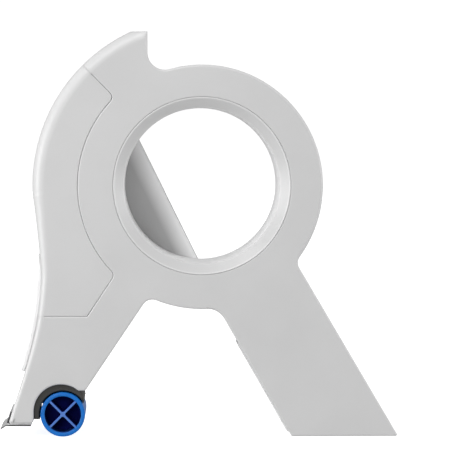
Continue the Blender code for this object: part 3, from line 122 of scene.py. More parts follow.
ROLLER_SETBACK = 25.3 * MM
ROLLER_RADIUS = 10.4 * MM
ROLLER_RIM = 1.9 * MM
ROLLER_INSET = 1.2 * MM
ROLLER_RIB = 1.0 * MM
RIB_DEPTH = 14.0 * MM
ROLLER_WEB = 2.5 * MM
ROLLER_BOSS_RADIUS = 4.6 * MM
ROLLER_BOSS_LENGTH = 4.0 * MM
RECESS_RADIUS = 12.8 * MM
RECESS_SHIFT = 0.8 * MM
RECESS_RISE = 1.3 * MM
GUARD_CLEARANCE = 0.6 * MM
GUARD_LEFT_HEIGHT = 8.1 * MM
TOE_BLOCK_TOP = 24.5 * MM
GUARD_RIGHT_SHIFT = 9.8 * MM
SHAFT_RADIUS = 2.0 * MM
SHAFT_STUB = 1.6 * MM
BUSH_WALL = 1.2 * MM
BUSH_SPACING = 7.0 * MM
FLANGE_WIDTH = 1.2 * MM
FLANGE_THICKNESS = 0.8 * MM
AXLE_BOSS_WALL = 2.8 * MM
WASHER_THICKNESS = 0.8 * MM
CLIP_THICKNESS = 0.8 * MM
CLIP_WIDTH = 1.9 * MM
GROOVE_DEPTH = 0.5 * MM
CLIP_POCKET_DEPTH = 3.4 * MM
CLIP_POCKET_GAP = 0.6 * MM

SHEET = 0.5 * MM
FLANGE_LENGTH = 10.4 * MM
BLADE_OVERHANG = 4.0 * MM
BLADE_TIP_HEIGHT = 3.0 * MM
BLADE_BEND = 2.6 * MM
HOLDER_HEIGHT = 6.4 * MM
HOLDER_GAP = 1.2 * MM
TOOTH_PITCH = 1.6 * MM
TOOTH_DEPTH = 1.1 * MM
BLADE_MARGIN = 1.0 * MM

POST_RADIUS = 3.2 * MM
SCREW_RADIUS = 1.3 * MM
SCREW_LENGTH = 12.0 * MM
HEAD_RADIUS = 2.6 * MM
HEAD_HEIGHT = 1.5 * MM
DRIVE_RADIUS = 1.1 * MM
DRIVE_DEPTH = 0.9 * MM
BLADE_SCREW_RADIUS = 0.9 * MM
BLADE_SCREW_LENGTH = 7.0 * MM
BLADE_HEAD_RADIUS = 1.9 * MM
BLADE_HEAD_HEIGHT = 1.1 * MM
BLADE_SCREW_SETBACK = 5.2 * MM
BLADE_SCREW_MARGIN = 8.35 * MM
WELL_DEPTH = 4.0 * MM
WELL_WALL = 1.2 * MM
WELL_FLOOR = 1.6 * MM
HOOK_POST_SHARES = (0.425, 0.75)
GRIP_BOSS_SHARES = ((0.728, 0.2935), (0.834, -0.3557))
LEG_POST_SHARES = ((0.868, 0.42), (0.925, 0.268))
REAR_POST_HEIGHT_SHARES = (0.13, 0.29, 0.43)

# Sizes that only the looks have: fine seams and roundings, and how the right leg's edge shows

SEAM = 0.1 * MM
FOOT_SEAM_SHARE = 0.4
SEAM_ROUND = 0.6 * MM
FAR_SEAM_ROUND = 0.25 * MM
LIP_ROUND = 0.25 * MM
LEG_EDGE_ROUND = 1.2 * MM
LEG_EDGE_SHIFT = 1.2 * MM
LEG_EDGE_FILLET = 9.0 * MM
LAP_SHOWN = 2.0 * MM
LAP_TOP_SHIFT = 1.8 * MM
SUPPORT = 0.35 * MM
RIM_ROUND = 0.3 * MM
FREE_EDGE_ROUND = 1.2 * MM
FOOT_ROUND = 0.7 * MM
FINE_ROUND = 0.12 * MM
RIB_ROUND = 0.2 * MM
BORE_LIP_ROUND = 0.1 * MM
CLIP_ROUND = 0.08 * MM
CLIP_SUPPORT = 0.1 * MM
BEZEL_LIP = 0.45 * MM
BEZEL_LIP_REACH = 0.7 * MM
THROAT_REACH = 0.9 * MM
# The drum's rubbed lip and throat edge, also painted paler as a painted highlight, reach this far.
WEAR_AND_SHEEN_REACH = 0.45 * MM
WEAR_AND_SHEEN_WIDTH = 0.5 * MM
WEAR_AND_SHEEN_DEPTH = 0.2 * MM
BLADE_BEND_ROUND = 0.8 * MM
HOLDER_BEND_ROUND = 0.7 * MM
THREAD_PITCH = 1.0 * MM
THREAD_DEPTH = 0.16 * MM
SCREW_TIP_SHARE = 0.4
DRIVE_MOUTH = 1.06
DRIVE_RIM = 1.35
DRIVE_FLOOR = 1.15
DRIVE_LIP = 0.08 * MM
HEAD_EDGE_ROUND = 0.15 * MM
HEAD_SIDE_SHARE = 0.55
HEAD_SIDE_ROUND = 0.4 * MM
HEAD_CROWN_SHARES = (0.72, 0.08)
HEAD_CROWN_ROUND = 0.8 * MM
BLADE_HEAD_CROWN = 0.12 * MM
BLADE_HEAD_FLAT = 0.6
BLADE_HEAD_FLAT_CROWN = 0.1 * MM
HOLDER_EDGE_SHARE = 0.3
BLADE_EDGE_SHARE = 0.5
BEVEL_SHARE = 0.7
TOOTH_SHARE = 0.999
ARCH_START_ANGLE = 70

# Fineness of the curved surfaces

ARC_STEP = 1.3 * MM
SMALL_ARC_STEP = 0.35 * MM
CURVE_STEPS = 14
ROUND_ROWS = 8
TURNED_SIDES = 128
SMALL_SIDES = 48
SHARP_ANGLE = 32
THREAD_ROWS = 90
HOLDER_COLUMNS = 24
TOOTH_COLUMNS = 8
PRISM_STEPS = 4
STRAIGHT = 88
SIDE_SHARE = 0.49
WELD = 0.002 * MM

# Where a straight side meets a circle in a rounded corner, the corner is aimed at a point a little way on
# along the circle, and the circle's own arc starts after it: (aim, start) in degrees, for the tips in radii

TIP_AIM, TIP_END = 1.57, 1.6
LOBE_AIM, LOBE_START, LOBE_END = 5, 8, 6
SHELL_AIM, SHELL_END = 2, 3
CROTCH_AIM, CROTCH_END = 1, 1.5


def rake_past(reach, drop, offset):
    """The rake of an edge that starts at a reach beside the drum's axis and a drop below it, and passes the
    axis at an offset: the angle to the axis plus the arc sine of the offset over the distance."""
    return math.degrees(math.atan2(reach, drop) + math.asin(offset / math.hypot(reach, drop)))


# Places that follow from these sizes

NEAR = -BODY_DEPTH / 2
FAR = BODY_DEPTH / 2
PLATE_BACK = NEAR + PLATE
FAR_PLATE_FACE = FAR - PLATE
RIM_END = NEAR + RIM_DEPTH
SHELL_START = RIM_END + GAP
LEG_SHELL_START = NEAR + LEG_SPLIT + GAP
HUB_X = (BLADE_REACH - LEG_REACH) / 2
HUB_HEIGHT = BODY_HEIGHT - HOOK_RISE
TOE_REACH = BLADE_REACH - BLADE_OVERHANG
ROLLER_REACH = TOE_REACH - ROLLER_SETBACK
TAIL_REACH = ROLLER_REACH - TAIL_SETBACK
GUARD_RIGHT_REACH = ROLLER_REACH - GUARD_RIGHT_SHIFT
LEG_OUTER_RAKE = rake_past(LEG_REACH, HUB_HEIGHT, -LEG_OUTER_OFFSET)
LEG_INNER_RAKE = rake_past(LEG_REACH - LEG_FOOT, HUB_HEIGHT, LEG_INNER_OFFSET)
TAIL_RAKE = rake_past(TAIL_REACH, HUB_HEIGHT - TAIL_HEIGHT, TAIL_OFFSET)
GRIP_FOOT_HEIGHT = HUB_HEIGHT - GRIP_FOOT_DROP
FREE_EDGE_HEIGHT = HUB_HEIGHT + FREE_EDGE_RISE
APRON_TOP = HUB_HEIGHT - APRON_TOP_DROP
APRON_FULL = HUB_HEIGHT - APRON_FULL_DROP
LEG_LAP_TOP = HUB_HEIGHT - LEG_LAP_DROP
HUB = np.array((HUB_X, HUB_HEIGHT))
ROLLER = np.array((HUB_X - ROLLER_REACH, ROLLER_RADIUS))
RECESS = ROLLER + (-RECESS_SHIFT, RECESS_RISE)
FLARE_RADIUS = BORE_RADIUS + FLARE_WIDTH
DRUM_RADIUS = BORE_RADIUS + DRUM_WALL
WINDOW_RADIUS = DRUM_RADIUS + GAP
COLLAR_RADIUS = WINDOW_RADIUS + COLLAR_WIDTH
COLLAR_DEPTH = PLATE + COLLAR_HEIGHT
GUARD_INNER = ROLLER_RADIUS + GUARD_CLEARANCE
GUARD_OUTER = RECESS_RADIUS + GAP
GUARD_SEAT = GUARD_OUTER + GAP
TOE_EDGE = RECESS[0] - RECESS_RADIUS
TOE_TIP = np.array((HUB_X - TOE_REACH, TOE_HEIGHT))
TAIL = np.array((HUB_X - TAIL_REACH, TAIL_HEIGHT))
FOOT = np.array((HUB_X + LEG_REACH - LEG_FOOT, 0.0))
HEEL = np.array((HUB_X + LEG_REACH, 0.0))
NEAR_FOOT = FOOT - (LEG_EDGE_SHIFT, 0.0)
HOOK_X = HUB_X - HOOK_REACH
HOOK_CORNER = np.array((HOOK_X, BODY_HEIGHT))
BUSH_BORE = SHAFT_RADIUS + GAP
BUSH_RADIUS = BUSH_BORE + BUSH_WALL
BUSH_SEAT = BUSH_RADIUS + GAP
FLANGE_RADIUS = BUSH_RADIUS + FLANGE_WIDTH
AXLE_BOSS_RADIUS = BUSH_SEAT + AXLE_BOSS_WALL
CLIP_RADIUS = BUSH_BORE + CLIP_WIDTH
CLIP_POCKET_RADIUS = FLANGE_RADIUS + CLIP_POCKET_GAP
ROLLER_START = NEAR + ROLLER_INSET
ROLLER_END = FAR_PLATE_FACE - ROLLER_INSET
WEB_START = ROLLER_START + RIB_DEPTH
WEB_END = WEB_START + ROLLER_WEB
ROLLER_BOSS_END = WEB_END + ROLLER_BOSS_LENGTH
WASHER_START = ROLLER_BOSS_END + GAP
INNER_FLANGE_START = WASHER_START + WASHER_THICKNESS + GAP
AXLE_BOSS_START = INNER_FLANGE_START + FLANGE_THICKNESS + GAP
OUTER_FLANGE_START = FAR - CLIP_POCKET_DEPTH + GAP
BUSH_LENGTH = (OUTER_FLANGE_START - INNER_FLANGE_START - FLANGE_THICKNESS - BUSH_SPACING) / 2
CLIP_START = OUTER_FLANGE_START + FLANGE_THICKNESS + GAP
SHAFT_START = WEB_START + ROLLER_WEB / 2
SHAFT_END = CLIP_START + CLIP_THICKNESS + SHAFT_STUB / 2
SCREW_SEAT = FAR - WELL_DEPTH
WELL_START = SCREW_SEAT - WELL_FLOOR
WELL_RADIUS = HEAD_RADIUS + GAP + WELL_WALL
POST_END = WELL_START - GAP
HOLDER_TOP = TOE_HEIGHT - GAP
BLADE_TOP = HOLDER_TOP - SHEET - GAP
BLADE_SCREW_SPACING = FAR - SHELL_START - 2 * BLADE_SCREW_MARGIN


# Places and directions in the plane of the sides


def polar(centre, radius, angle):
    turn = np.radians(angle)
    return np.array(centre) + radius * np.array((np.cos(turn), np.sin(turn)))


def angle_of(centre, point):
    return math.degrees(math.atan2(point[1] - centre[1], point[0] - centre[0]))


def unit(vector):
    return np.array(vector) / np.linalg.norm(vector)


def left_of(direction):
    return np.array((-direction[1], direction[0]))


def lean(rake):
    """The direction of an edge that leans to the left as it rises, by the rake in degrees from upright."""
    return np.array((-math.sin(math.radians(rake)), math.cos(math.radians(rake))))


def line_meets_circle(point, direction, centre, radius, far=True):
    """Where a line meets a circle: the further meeting along its direction, or the nearer."""
    gap = np.array(point) - centre
    middle = -gap @ direction
    reach = math.sqrt(max(radius**2 - (gap @ gap - middle**2), 0))
    return point + direction * (middle + (reach if far else -reach))


def lines_meet(a, a_way, b, b_way):
    cross = a_way[0] * b_way[1] - a_way[1] * b_way[0]
    distance = ((b[0] - a[0]) * b_way[1] - (b[1] - a[1]) * b_way[0]) / cross
    return a + np.array(a_way) * distance


# Stretches of outline. Each is a table of columns: where a point is, the way inwards from its edge, how far
# that way holds before a convex corner closes up, the corner's middle line beyond that, and the finish of
# the edge.

FINISH = {"round": EDGE_ROUND, "rim": RIM_DEPTH, "wall": WALL, "inner_round": RIM_ROUND, "support": SUPPORT}


def stretch(at, inward, limit=np.inf, corner=(0, 0), **finish):
    at = np.array(at, float)
    inward, corner = (np.broadcast_to(pair, at.shape).astype(float) for pair in (inward, corner))
    return refinished({"at": at, "inward": inward, "corner": corner}, limit=limit, **{**FINISH, **finish})


def joined(*paths):
    return {key: np.concatenate([p[key] for p in paths]) for key in paths[0]}


def taken(path, which):
    """The points of a stretch that a slice or a mask picks."""
    return {key: value[which] for key, value in path.items()}


FIRST, LAST = slice(1), slice(-1, None)


def chain(*stretches):
    """Stretches one after another, without the points that fall on the one before."""
    made = joined(*stretches)
    gap = np.linalg.norm(np.diff(made["at"], axis=0), axis=1)
    change = np.abs(np.diff(made["rim"]))
    return taken(made, np.concatenate([[True], (gap > WELD) | (change > WELD)]))


def refinished(path, **finish):
    count = len(path["at"])
    return {**path, **{key: np.broadcast_to(value, count).astype(float) for key, value in finish.items()}}


def arc(centre, radius, start, end, step=ARC_STEP, **finish):
    """Points of an arc. Anticlockwise ones have their inside towards the centre, the others away from it."""
    pieces = max(3, math.ceil(abs(math.radians(end - start)) * radius / step))
    turn = np.radians(np.linspace(start, end, pieces + 1))
    out = np.column_stack([np.cos(turn), np.sin(turn)])
    convex = end > start
    return stretch(
        np.array(centre) + radius * out,
        -out if convex else out,
        limit=radius if convex else np.inf,
        **finish,
    )


def corner(before, tip, after, radius, step=SMALL_ARC_STEP, **finish):
    """A corner rounded by an arc that touches both of its sides, for either way of turning."""
    before, tip, after = (np.array(p, float) for p in (before, tip, after))
    arrive = unit(tip - before)
    leave = unit(after - tip)
    turn = math.atan2(arrive[0] * leave[1] - arrive[1] * leave[0], arrive @ leave)
    convex = turn > 0
    touch = radius * math.tan(abs(turn) / 2)
    side = left_of(arrive) if convex else -left_of(arrive)
    centre = tip - arrive * touch + side * radius
    pieces = max(3, math.ceil(abs(turn) * radius / step))
    turned_by = np.linspace(0, turn, pieces + 1)
    first = -side
    out = np.column_stack(
        [
            first[0] * np.cos(turned_by) - first[1] * np.sin(turned_by),
            first[0] * np.sin(turned_by) + first[1] * np.cos(turned_by),
        ]
    )
    middle = (left_of(arrive) + left_of(leave)) / (1 + left_of(arrive) @ left_of(leave))
    return stretch(
        centre + radius * out,
        -out if convex else out,
        limit=radius if convex else np.inf,
        corner=middle if convex else (0, 0),
        **finish,
    )


def along_curve(points, **finish):
    way = np.gradient(points, axis=0)
    way /= np.linalg.norm(way, axis=1)[:, None]
    return stretch(points, np.column_stack([-way[:, 1], way[:, 0]]), **finish)


def moved_in(path, distance):
    """The outline's points moved inwards by a distance that may differ from point to point."""
    distance = np.broadcast_to(distance, len(path["at"]))
    first = np.minimum(distance, path["limit"])
    return path["at"] + path["inward"] * first[:, None] + path["corner"] * (distance - first)[:, None]


def closed_path(points, **finish):
    """An outline of straight sides: at each corner the way inwards runs along the corner's middle line."""
    points = np.array(points, float)
    before = points - np.roll(points, 1, axis=0)
    after = np.roll(points, -1, axis=0) - points
    area = np.sum(points[:, 0] * np.roll(points[:, 1], -1) - np.roll(points[:, 0], -1) * points[:, 1])
    if area < 0:
        return closed_path(points[::-1], **finish)
    before /= np.linalg.norm(before, axis=1)[:, None]
    after /= np.linalg.norm(after, axis=1)[:, None]
    normals = np.stack([np.column_stack([-w[:, 1], w[:, 0]]) for w in (before, after)])
    middle = normals.sum(axis=0) / (1 + np.sum(normals[0] * normals[1], axis=1))[:, None]
    return stretch(points, middle, **finish)


def flowing_curve(points, steps):
    """A smooth curve through the points, each tangent taken from the two neighbours: cubic blends of the
    ends and tangents of each piece, all pieces at once."""
    padded = np.array([points[0], *points, points[-1]])
    start, end = padded[1:-2], padded[2:-1]
    leave = (padded[2:-1] - padded[:-3]) / 2
    arrive = (padded[3:] - padded[1:-2]) / 2
    t = (np.arange(steps) / steps)[None, :, None]
    blend = (
        (2 * t**3 - 3 * t**2 + 1) * start[:, None]
        + (t**3 - 2 * t**2 + t) * leave[:, None]
        + (3 * t**2 - 2 * t**3) * end[:, None]
        + (t**3 - t**2) * arrive[:, None]
    )
    return np.concatenate([blend.reshape(-1, 2), np.array([points[-1]])])


def spine_curve():
    """The lower front line, from the end of the spine's arc down to the tip of the toe."""
    shares = np.array(SPINE_CURVE_SHARES)
    points = np.column_stack([HUB_X - shares[:, 0] * SPINE_RADIUS, shares[:, 1] * HUB_HEIGHT])
    return flowing_curve([polar(HUB, SPINE_RADIUS, SPINE_END_ANGLE), *points, TOE_TIP], CURVE_STEPS)


# The outline of the sides


def notch_centre():
    start = np.array((HOOK_X + NOTCH_FILLET, HUB_HEIGHT))
    return line_meets_circle(start, np.array((0, 1)), HUB, DISC_RADIUS + NOTCH_FILLET)


def fillet(start, rake, side, radius, circle, **finish):
    """The centre and points of the hollow arc between a straight edge and a circle about the drum's axis. The
    centre lies to the left (1) or right (-1) of the edge's way up. An arc with its centre on the right runs
    from the edge to the circle, the other kind from the circle to the edge."""
    way = lean(rake)
    beside = left_of(way) * side
    centre = line_meets_circle(start + beside * radius, way, HUB, circle + radius, far=False)
    first, last = angle_of(centre, centre - beside), angle_of(centre, HUB)
    if side > 0:
        first, last = last, first
    last += 360 * round((first - last) / 360)
    return centre, arc(centre, radius, first, last, SMALL_ARC_STEP, **finish)


def left_crotch_fillet():
    return fillet(TAIL, -TAIL_RAKE, -1, CROTCH_FILLET, CROTCH_RADIUS, rim=PLATE)


def recess_end():
    return line_meets_circle(TAIL, np.array((-1, 0)), RECESS, RECESS_RADIUS, far=False)


def leg_to_notch():
    """From the right leg's heel up its outer edge, round the waist, the disc and the notch, to the hook."""
    centre, waist = fillet(HEEL, LEG_OUTER_RAKE, -1, WAIST_FILLET, DISC_RADIUS, rim=LEG_SPLIT)
    notch = notch_centre()
    heel = corner(NEAR_FOOT, HEEL, waist["at"][0], FOOT_ROUND, rim=LEG_SPLIT)
    disc = arc(HUB, DISC_RADIUS, angle_of(HUB, centre), angle_of(HUB, notch), round=DISC_ROUND, rim=PLATE)
    end = arc(notch, NOTCH_FILLET, angle_of(notch, HUB), -180, SMALL_ARC_STEP, round=DISC_ROUND)
    waist_end = refinished(taken(waist, LAST), rim=PLATE)
    notch_start = refinished(taken(end, FIRST), rim=PLATE)
    return chain(heel, waist, waist_end, disc, notch_start, end)


def spine_top_angle():
    return 180 - math.degrees(math.asin((BODY_HEIGHT - HUB_HEIGHT) / SPINE_RADIUS))


def spine_arc():
    return arc(HUB, SPINE_RADIUS, spine_top_angle(), SPINE_END_ANGLE, round=SPINE_ROUND)


def lower_front():
    """The lower front line, whose rounding grows with the square of the height between toe and drum."""
    points = spine_curve()[:-1]
    share = np.clip((points[:, 1] - TOE_HEIGHT) / (HUB_HEIGHT - TOE_HEIGHT), 0, 1)
    return along_curve(points, round=TOE_ROUND + (SPINE_ROUND - TOE_ROUND) * share**2)


def toe():
    """The toe's tip, its underside and the rounded corner to the recess over the roller."""
    above = lower_front()["at"][-3]
    tip = corner(above, TOE_TIP, (TOE_EDGE, TOE_HEIGHT), EDGE_ROUND)
    share = np.linspace(1, 0, len(tip["at"]))
    tip = refinished(tip, round=EDGE_ROUND + (TOE_ROUND - EDGE_ROUND) * share)
    back = corner(TOE_TIP, (TOE_EDGE, TOE_HEIGHT), (TOE_EDGE, RECESS[1]), CORNER_FILLET)
    return chain(tip, back, refinished(taken(back, LAST), rim=PLATE))


def recess_and_tail():
    """The recess over the roller and the left leg's rear corner."""
    end = recess_end()
    last = angle_of(RECESS, end)
    softened = math.degrees(FOOT_ROUND / RECESS_RADIUS)
    hollow = arc(RECESS, RECESS_RADIUS, 180, last + softened, SMALL_ARC_STEP, rim=PLATE)
    lip = corner(polar(RECESS, RECESS_RADIUS, last + softened), end, TAIL, EDGE_ROUND / 2, rim=PLATE)
    tail = corner(end, TAIL, TAIL + lean(-TAIL_RAKE), CORNER_FILLET, rim=PLATE)
    return chain(hollow, lip, tail)


def crotch():
    """The rear edge of the left leg, the arc under the disc and the inner edge of the right leg."""
    left, left_hollow = left_crotch_fillet()
    right, hollow = fillet(
        NEAR_FOOT, LEG_INNER_RAKE, 1, LEG_EDGE_FILLET, CROTCH_RADIUS, rim=LEG_SPLIT, round=LEG_EDGE_ROUND
    )
    under = arc(HUB, CROTCH_RADIUS, angle_of(HUB, left), angle_of(HUB, right), rim=PLATE)
    foot = corner(hollow["at"][-1], NEAR_FOOT, HEEL, FOOT_ROUND, rim=LEG_SPLIT)
    return chain(left_hollow, under, refinished(taken(hollow, FIRST), rim=PLATE), hollow, foot)


def cut(path, end, past, margin, after):
    """The part of a stretch after or before its new end point, without the points within the margin of it."""
    if after:
        return chain(end, taken(path, past > margin))
    return chain(taken(path, past < -margin), end)


def cut_at_height(path, height, below):
    """The part of a falling stretch above or below a height, with its end exactly on that height."""
    z = path["at"][:, 1]
    end = {}
    for key, value in path.items():
        columns = np.where(np.isfinite(value), value, 1.0).reshape(len(z), -1).T
        found = [np.interp(-height, -z, column) for column in columns]
        end[key] = np.reshape(found, (1, *value.shape[1:]))
    end["inward"] = np.array([[1.0, 0.0]])
    return cut(path, end, height - z, ARC_STEP / 2, below)


def cut_at_seam(path, grow, after):
    """The spine's arc before or after the grip's upper seam, its end laid along the seam."""
    way = polar((0, 0), 1, GRIP_TOP_ANGLE)
    meeting = line_meets_circle(HUB - left_of(way) * grow, way, HUB, SPINE_RADIUS)
    end = {**taken(path, FIRST), "at": meeting[None], "inward": -way[None]}
    angles = np.array([angle_of(HUB, p) % 360 for p in path["at"]])
    margin = math.degrees(ARC_STEP / 2 / SPINE_RADIUS)
    return cut(path, end, angles - angle_of(HUB, meeting) % 360, margin, after)


def seam_line(grow):
    """The grip's seam from the spine's top, round the roll and back out to the front: corner points."""
    inner = GRIP_INNER_RADIUS - grow
    top_way = polar((0, 0), 1, GRIP_TOP_ANGLE)
    tail_way = polar((0, 0), 1, GRIP_TAIL_ANGLE)
    top_base = HUB - left_of(top_way) * grow
    top_tip = line_meets_circle(top_base, top_way, HUB, inner)
    low_tip = polar(HUB, inner, GRIP_LOW_ANGLE)
    tail_start = low_tip + left_of(tail_way) * grow
    foot = lines_meet(tail_start, tail_way, np.array((0, GRIP_FOOT_HEIGHT - grow * FOOT_SEAM_SHARE)), (1, 0))
    turn = math.degrees(GRIP_TIP_FILLET / inner)
    top_out = line_meets_circle(top_base, top_way, HUB, SPINE_RADIUS)
    upper = corner(top_out, top_tip, polar(HUB, inner, GRIP_TOP_ANGLE + turn * TIP_AIM), GRIP_TIP_FILLET)
    lower = corner(polar(HUB, inner, GRIP_LOW_ANGLE - turn * TIP_AIM), low_tip, foot, GRIP_TIP_FILLET)
    run = arc(HUB, inner, GRIP_TOP_ANGLE + turn * TIP_END, GRIP_LOW_ANGLE - turn * TIP_END)
    return upper, run, lower, foot


def seam(grow, start, end, size):
    """The seam as a stretch whose inside is the frame, from a start on its upper line to an end on its lower
    one. Its rounding fades in over a short run at both ends."""
    upper, run, lower, foot = seam_line(grow)
    foot_corner = corner(lower["at"][-1], foot, end, EDGE_ROUND)
    way_in = unit(upper["at"][0] - start)
    way_out = unit(end - foot)
    ramp = np.array([0, 0.5, 1, 2]) * SUPPORT
    first = stretch(start + way_in * ramp[:, None], left_of(way_in))
    last = stretch(end - way_out * ramp[::-1][:, None], left_of(way_out))
    made = chain(first, upper, run, lower, foot_corner, last)
    fade = np.ones(len(made["at"]))
    fade[:3] = (0, 0.5, 1)
    fade[-3:] = (1, 0.5, 0)
    return refinished(made, rim=PLATE, wall=0, inner_round=0, round=size * fade, support=0.4 * size * fade)


def reversed_path(path):
    """The same line walked the other way, with its inside on the other side."""
    made = taken(path, slice(None, None, -1))
    return {**made, "inward": -made["inward"]}


# Surfaces


class Surface:
    """Gathers rows of points into closed shells and makes them one mesh."""

    def __init__(self, face=0.0, way=1):
        self.face, self.way = face, way
        self.points, self.edges, self.faces, self.count = [], [], [], 0

    def place(self, flat):
        """(across, up, depth) points in the shared frame: the depth runs from the outer face inwards."""
        flat = np.array(flat, float)
        return np.stack([flat[..., 0], self.face + self.way * flat[..., 2], flat[..., 1]], axis=-1)

    def add(self, points, faces, edge=0.0):
        self.points.append(points)
        self.edges.append(np.broadcast_to(edge, len(points)).astype(float))
        self.faces += [[index + self.count for index in face] for face in faces]
        self.count += len(points)

    def grid(self, rows, edge=None, closed=False):
        """Joins each row of points to the next with quads, and in a closed grid the last column to the first.
        edge holds how much each row is rubbed and painted paler, a painted highlight."""
        rows = np.array(rows)
        height, width = rows.shape[:2]
        i = np.arange(height - 1)[:, None] * width
        j = np.arange(width if closed else width - 1)[None, :]
        k = (j + 1) % width
        quads = np.stack(np.broadcast_arrays(i + j, i + k, i + width + k, i + width + j), -1)
        wear_and_sheen = np.repeat(np.zeros(height) if edge is None else edge, width)
        self.add(rows.reshape(-1, 3), quads.reshape(-1, 4).tolist(), wear_and_sheen)

    def fill(self, *loops):
        """A flat face inside the first loop, with the other loops as holes."""
        triangles = tessellate_polygon([[Vector(p) for p in loop] for loop in loops])
        self.add(np.concatenate(loops), triangles)

    def take(self, other):
        """Adds another surface's placed points and faces to this one's."""
        self.faces += [[index + self.count for index in face] for face in other.faces]
        self.points += other.points
        self.edges += other.edges
        self.count += other.count

    def mesh(self, name):
        points = np.concatenate(self.points)
        mesh = bpy.data.meshes.new(name)
        mesh.from_pydata(points.tolist(), [], self.faces)
        attribute = mesh.attributes.new("edge", "FLOAT", "POINT")
        attribute.data.foreach_set("value", np.concatenate(self.edges).astype(np.float32))
        work = bmesh.new()
        work.from_mesh(mesh)
        bmesh.ops.remove_doubles(work, verts=work.verts, dist=WELD)
        bmesh.ops.dissolve_degenerate(work, dist=WELD / 4, edges=work.edges)
        bmesh.ops.recalc_face_normals(work, faces=work.faces)
        work.to_mesh(mesh)
        work.free()
        return mesh


def placed_object(name, data):
    thing = bpy.data.objects.new(name, data)
    bpy.context.scene.collection.objects.link(thing)
    return thing


def piece(surface, name, body, finish, slot, *nodes):
    """One finished piece: it rides on a body, takes a finish and stands for the nodes named. Its slot is not
    used.
    """
    mesh = surface.mesh(name)
    mesh.shade_smooth()
    mesh.set_sharp_from_angle(angle=math.radians(SHARP_ANGLE))
    thing = placed_object(name, mesh)
    mesh.materials.append(finish)
    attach(thing, body)
    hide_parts(*nodes)


QUARTER = np.linspace(0, 1, ROUND_ROWS)


def rows_at(path, insets, depths):
    """Rows of (across, up, depth): the outline moved in by each inset, at each depth."""
    count = len(path["at"])
    return np.stack(
        [np.column_stack([moved_in(path, i), np.broadcast_to(d, count)]) for i, d in zip(insets, depths)]
    )


def rounded_rows(path):
    """The outer edge: a row on the face, then a quarter round of each point's own radius down to the side."""
    radius = path["round"]
    turn = QUARTER * math.pi / 2
    insets = [radius + path["support"], *(radius * (1 - math.sin(a)) for a in turn)]
    depths = [0, *(radius * (1 - math.cos(a)) for a in turn)]
    return rows_at(path, insets, depths)


def wall_rows(path, depth):
    """The side below the rounded edge, the rim's end with its own small roundings, and the wall's inside."""
    small = np.minimum(path["inner_round"], path["rim"] - depth)
    inset_end = np.maximum(path["wall"], small)
    half = 1 - math.sqrt(0.5)
    insets = [0, 0, small * half, small, inset_end, inset_end]
    depths = [
        depth,
        path["rim"] - small,
        path["rim"] - small * half,
        path["rim"],
        path["rim"],
        np.broadcast_to(PLATE, len(small)),
    ]
    return rows_at(path, insets, depths)


# How much each row of a rounded edge is rubbed and painted paler, a painted highlight along the rounding.
WEAR_AND_SHEEN = [0, 0, *np.sin(QUARTER[1:] * math.pi)]


def add_edge(surface, path, closed=False):
    """Adds a stretch's rounded edge and the wall below it, and gives their rows of (across, up, depth)."""
    rows = rounded_rows(path)
    wall = wall_rows(path, rows[-1, :, 2])
    surface.grid(surface.place(rows), WEAR_AND_SHEEN, closed)
    surface.grid(surface.place(wall), None, closed)
    return rows, wall


def full_turn(sides):
    return np.linspace(0, 2 * math.pi, sides, endpoint=False)


def rings(radius, depth, centre=(0, 0), sides=SMALL_SIDES):
    """Circles of (across, up, depth), one for each radius and depth. A radius may vary round its circle."""
    radius, depth, turn = np.broadcast_arrays(radius, depth, full_turn(sides))
    return np.stack([centre[0] + radius * np.cos(turn), centre[1] + radius * np.sin(turn), depth], axis=-1)


def turned(surface, profile, centre, sides=TURNED_SIDES, edge=None):
    """A surface turned about the depth axis: each (radius, depth) of the profile becomes a circle."""
    circles = rings(profile[:, :1], profile[:, 1:], centre, sides)
    surface.grid(surface.place(circles), edge=edge, closed=True)


def softened(corners, steps=4, closed=False):
    """A profile with its corners rounded. Each corner holds its place and its rounding's radius, which is
    limited by half of its sides."""
    points, radii = np.array(corners, float)[:, :2], np.array(corners, float)[:, 2]
    made = []
    for i, tip in enumerate(points):
        if not closed and i in (0, len(points) - 1) or radii[i] <= 0:
            made.append(tip[None])
            continue
        before, after = points[i - 1], points[(i + 1) % len(points)]
        back, on = unit(before - tip), unit(after - tip)
        half = math.acos(np.clip(back @ on, -1, 1)) / 2
        if half > math.radians(STRAIGHT):
            made.append(tip[None])
            continue
        room = min(np.linalg.norm(before - tip), np.linalg.norm(after - tip)) * SIDE_SHARE
        touch = min(radii[i] / math.tan(half), room)
        t = np.linspace(0, 1, steps + 1)[:, None]
        start, end = tip + back * touch, tip + on * touch
        weight = math.sin(half)
        made.append(
            ((1 - t) ** 2 * start + 2 * weight * t * (1 - t) * tip + t**2 * end)
            / ((1 - t) ** 2 + 2 * weight * t * (1 - t) + t**2)
        )
    return np.concatenate(made)


def prism(surface, runs, start, end, rounding, support=SUPPORT / 2):
    """A closed outline, given as runs of points, carried from one depth to another. Both ends are rounded and
    filled."""
    path = closed_path(np.concatenate(runs))
    t = np.linspace(0, math.pi / 2, PRISM_STEPS + 1)
    round_in = rounding * (1 - np.sin(t))
    insets = [rounding + support, *round_in, *round_in[::-1], rounding + support]
    depths = [start, *(start + rounding * (1 - np.cos(t))), *(end - rounding * (1 - np.cos(t[::-1]))), end]
    rows = surface.place(rows_at(path, insets, depths))
    # The rounded ends are rubbed and painted paler, a painted highlight.
    wear_and_sheen = [0, 0, *np.sin(t[1:] * 2), *np.sin(t[:0:-1] * 2), 0, 0]
    surface.grid(rows, edge=wear_and_sheen, closed=True)
    surface.fill(rows[0])
    surface.fill(rows[-1])


def through(surface, centre, profile, sides=SMALL_SIDES):
    """A turned opening in a plate, from the loop it leaves in one face to the loop in the other."""
    turned(surface, profile, centre, sides)
    return [surface.place(rings(radius, depth, centre, sides)) for radius, depth in (profile[0], profile[-1])]


# The hook's corner, where the spine's rounding is cut off by the flat top


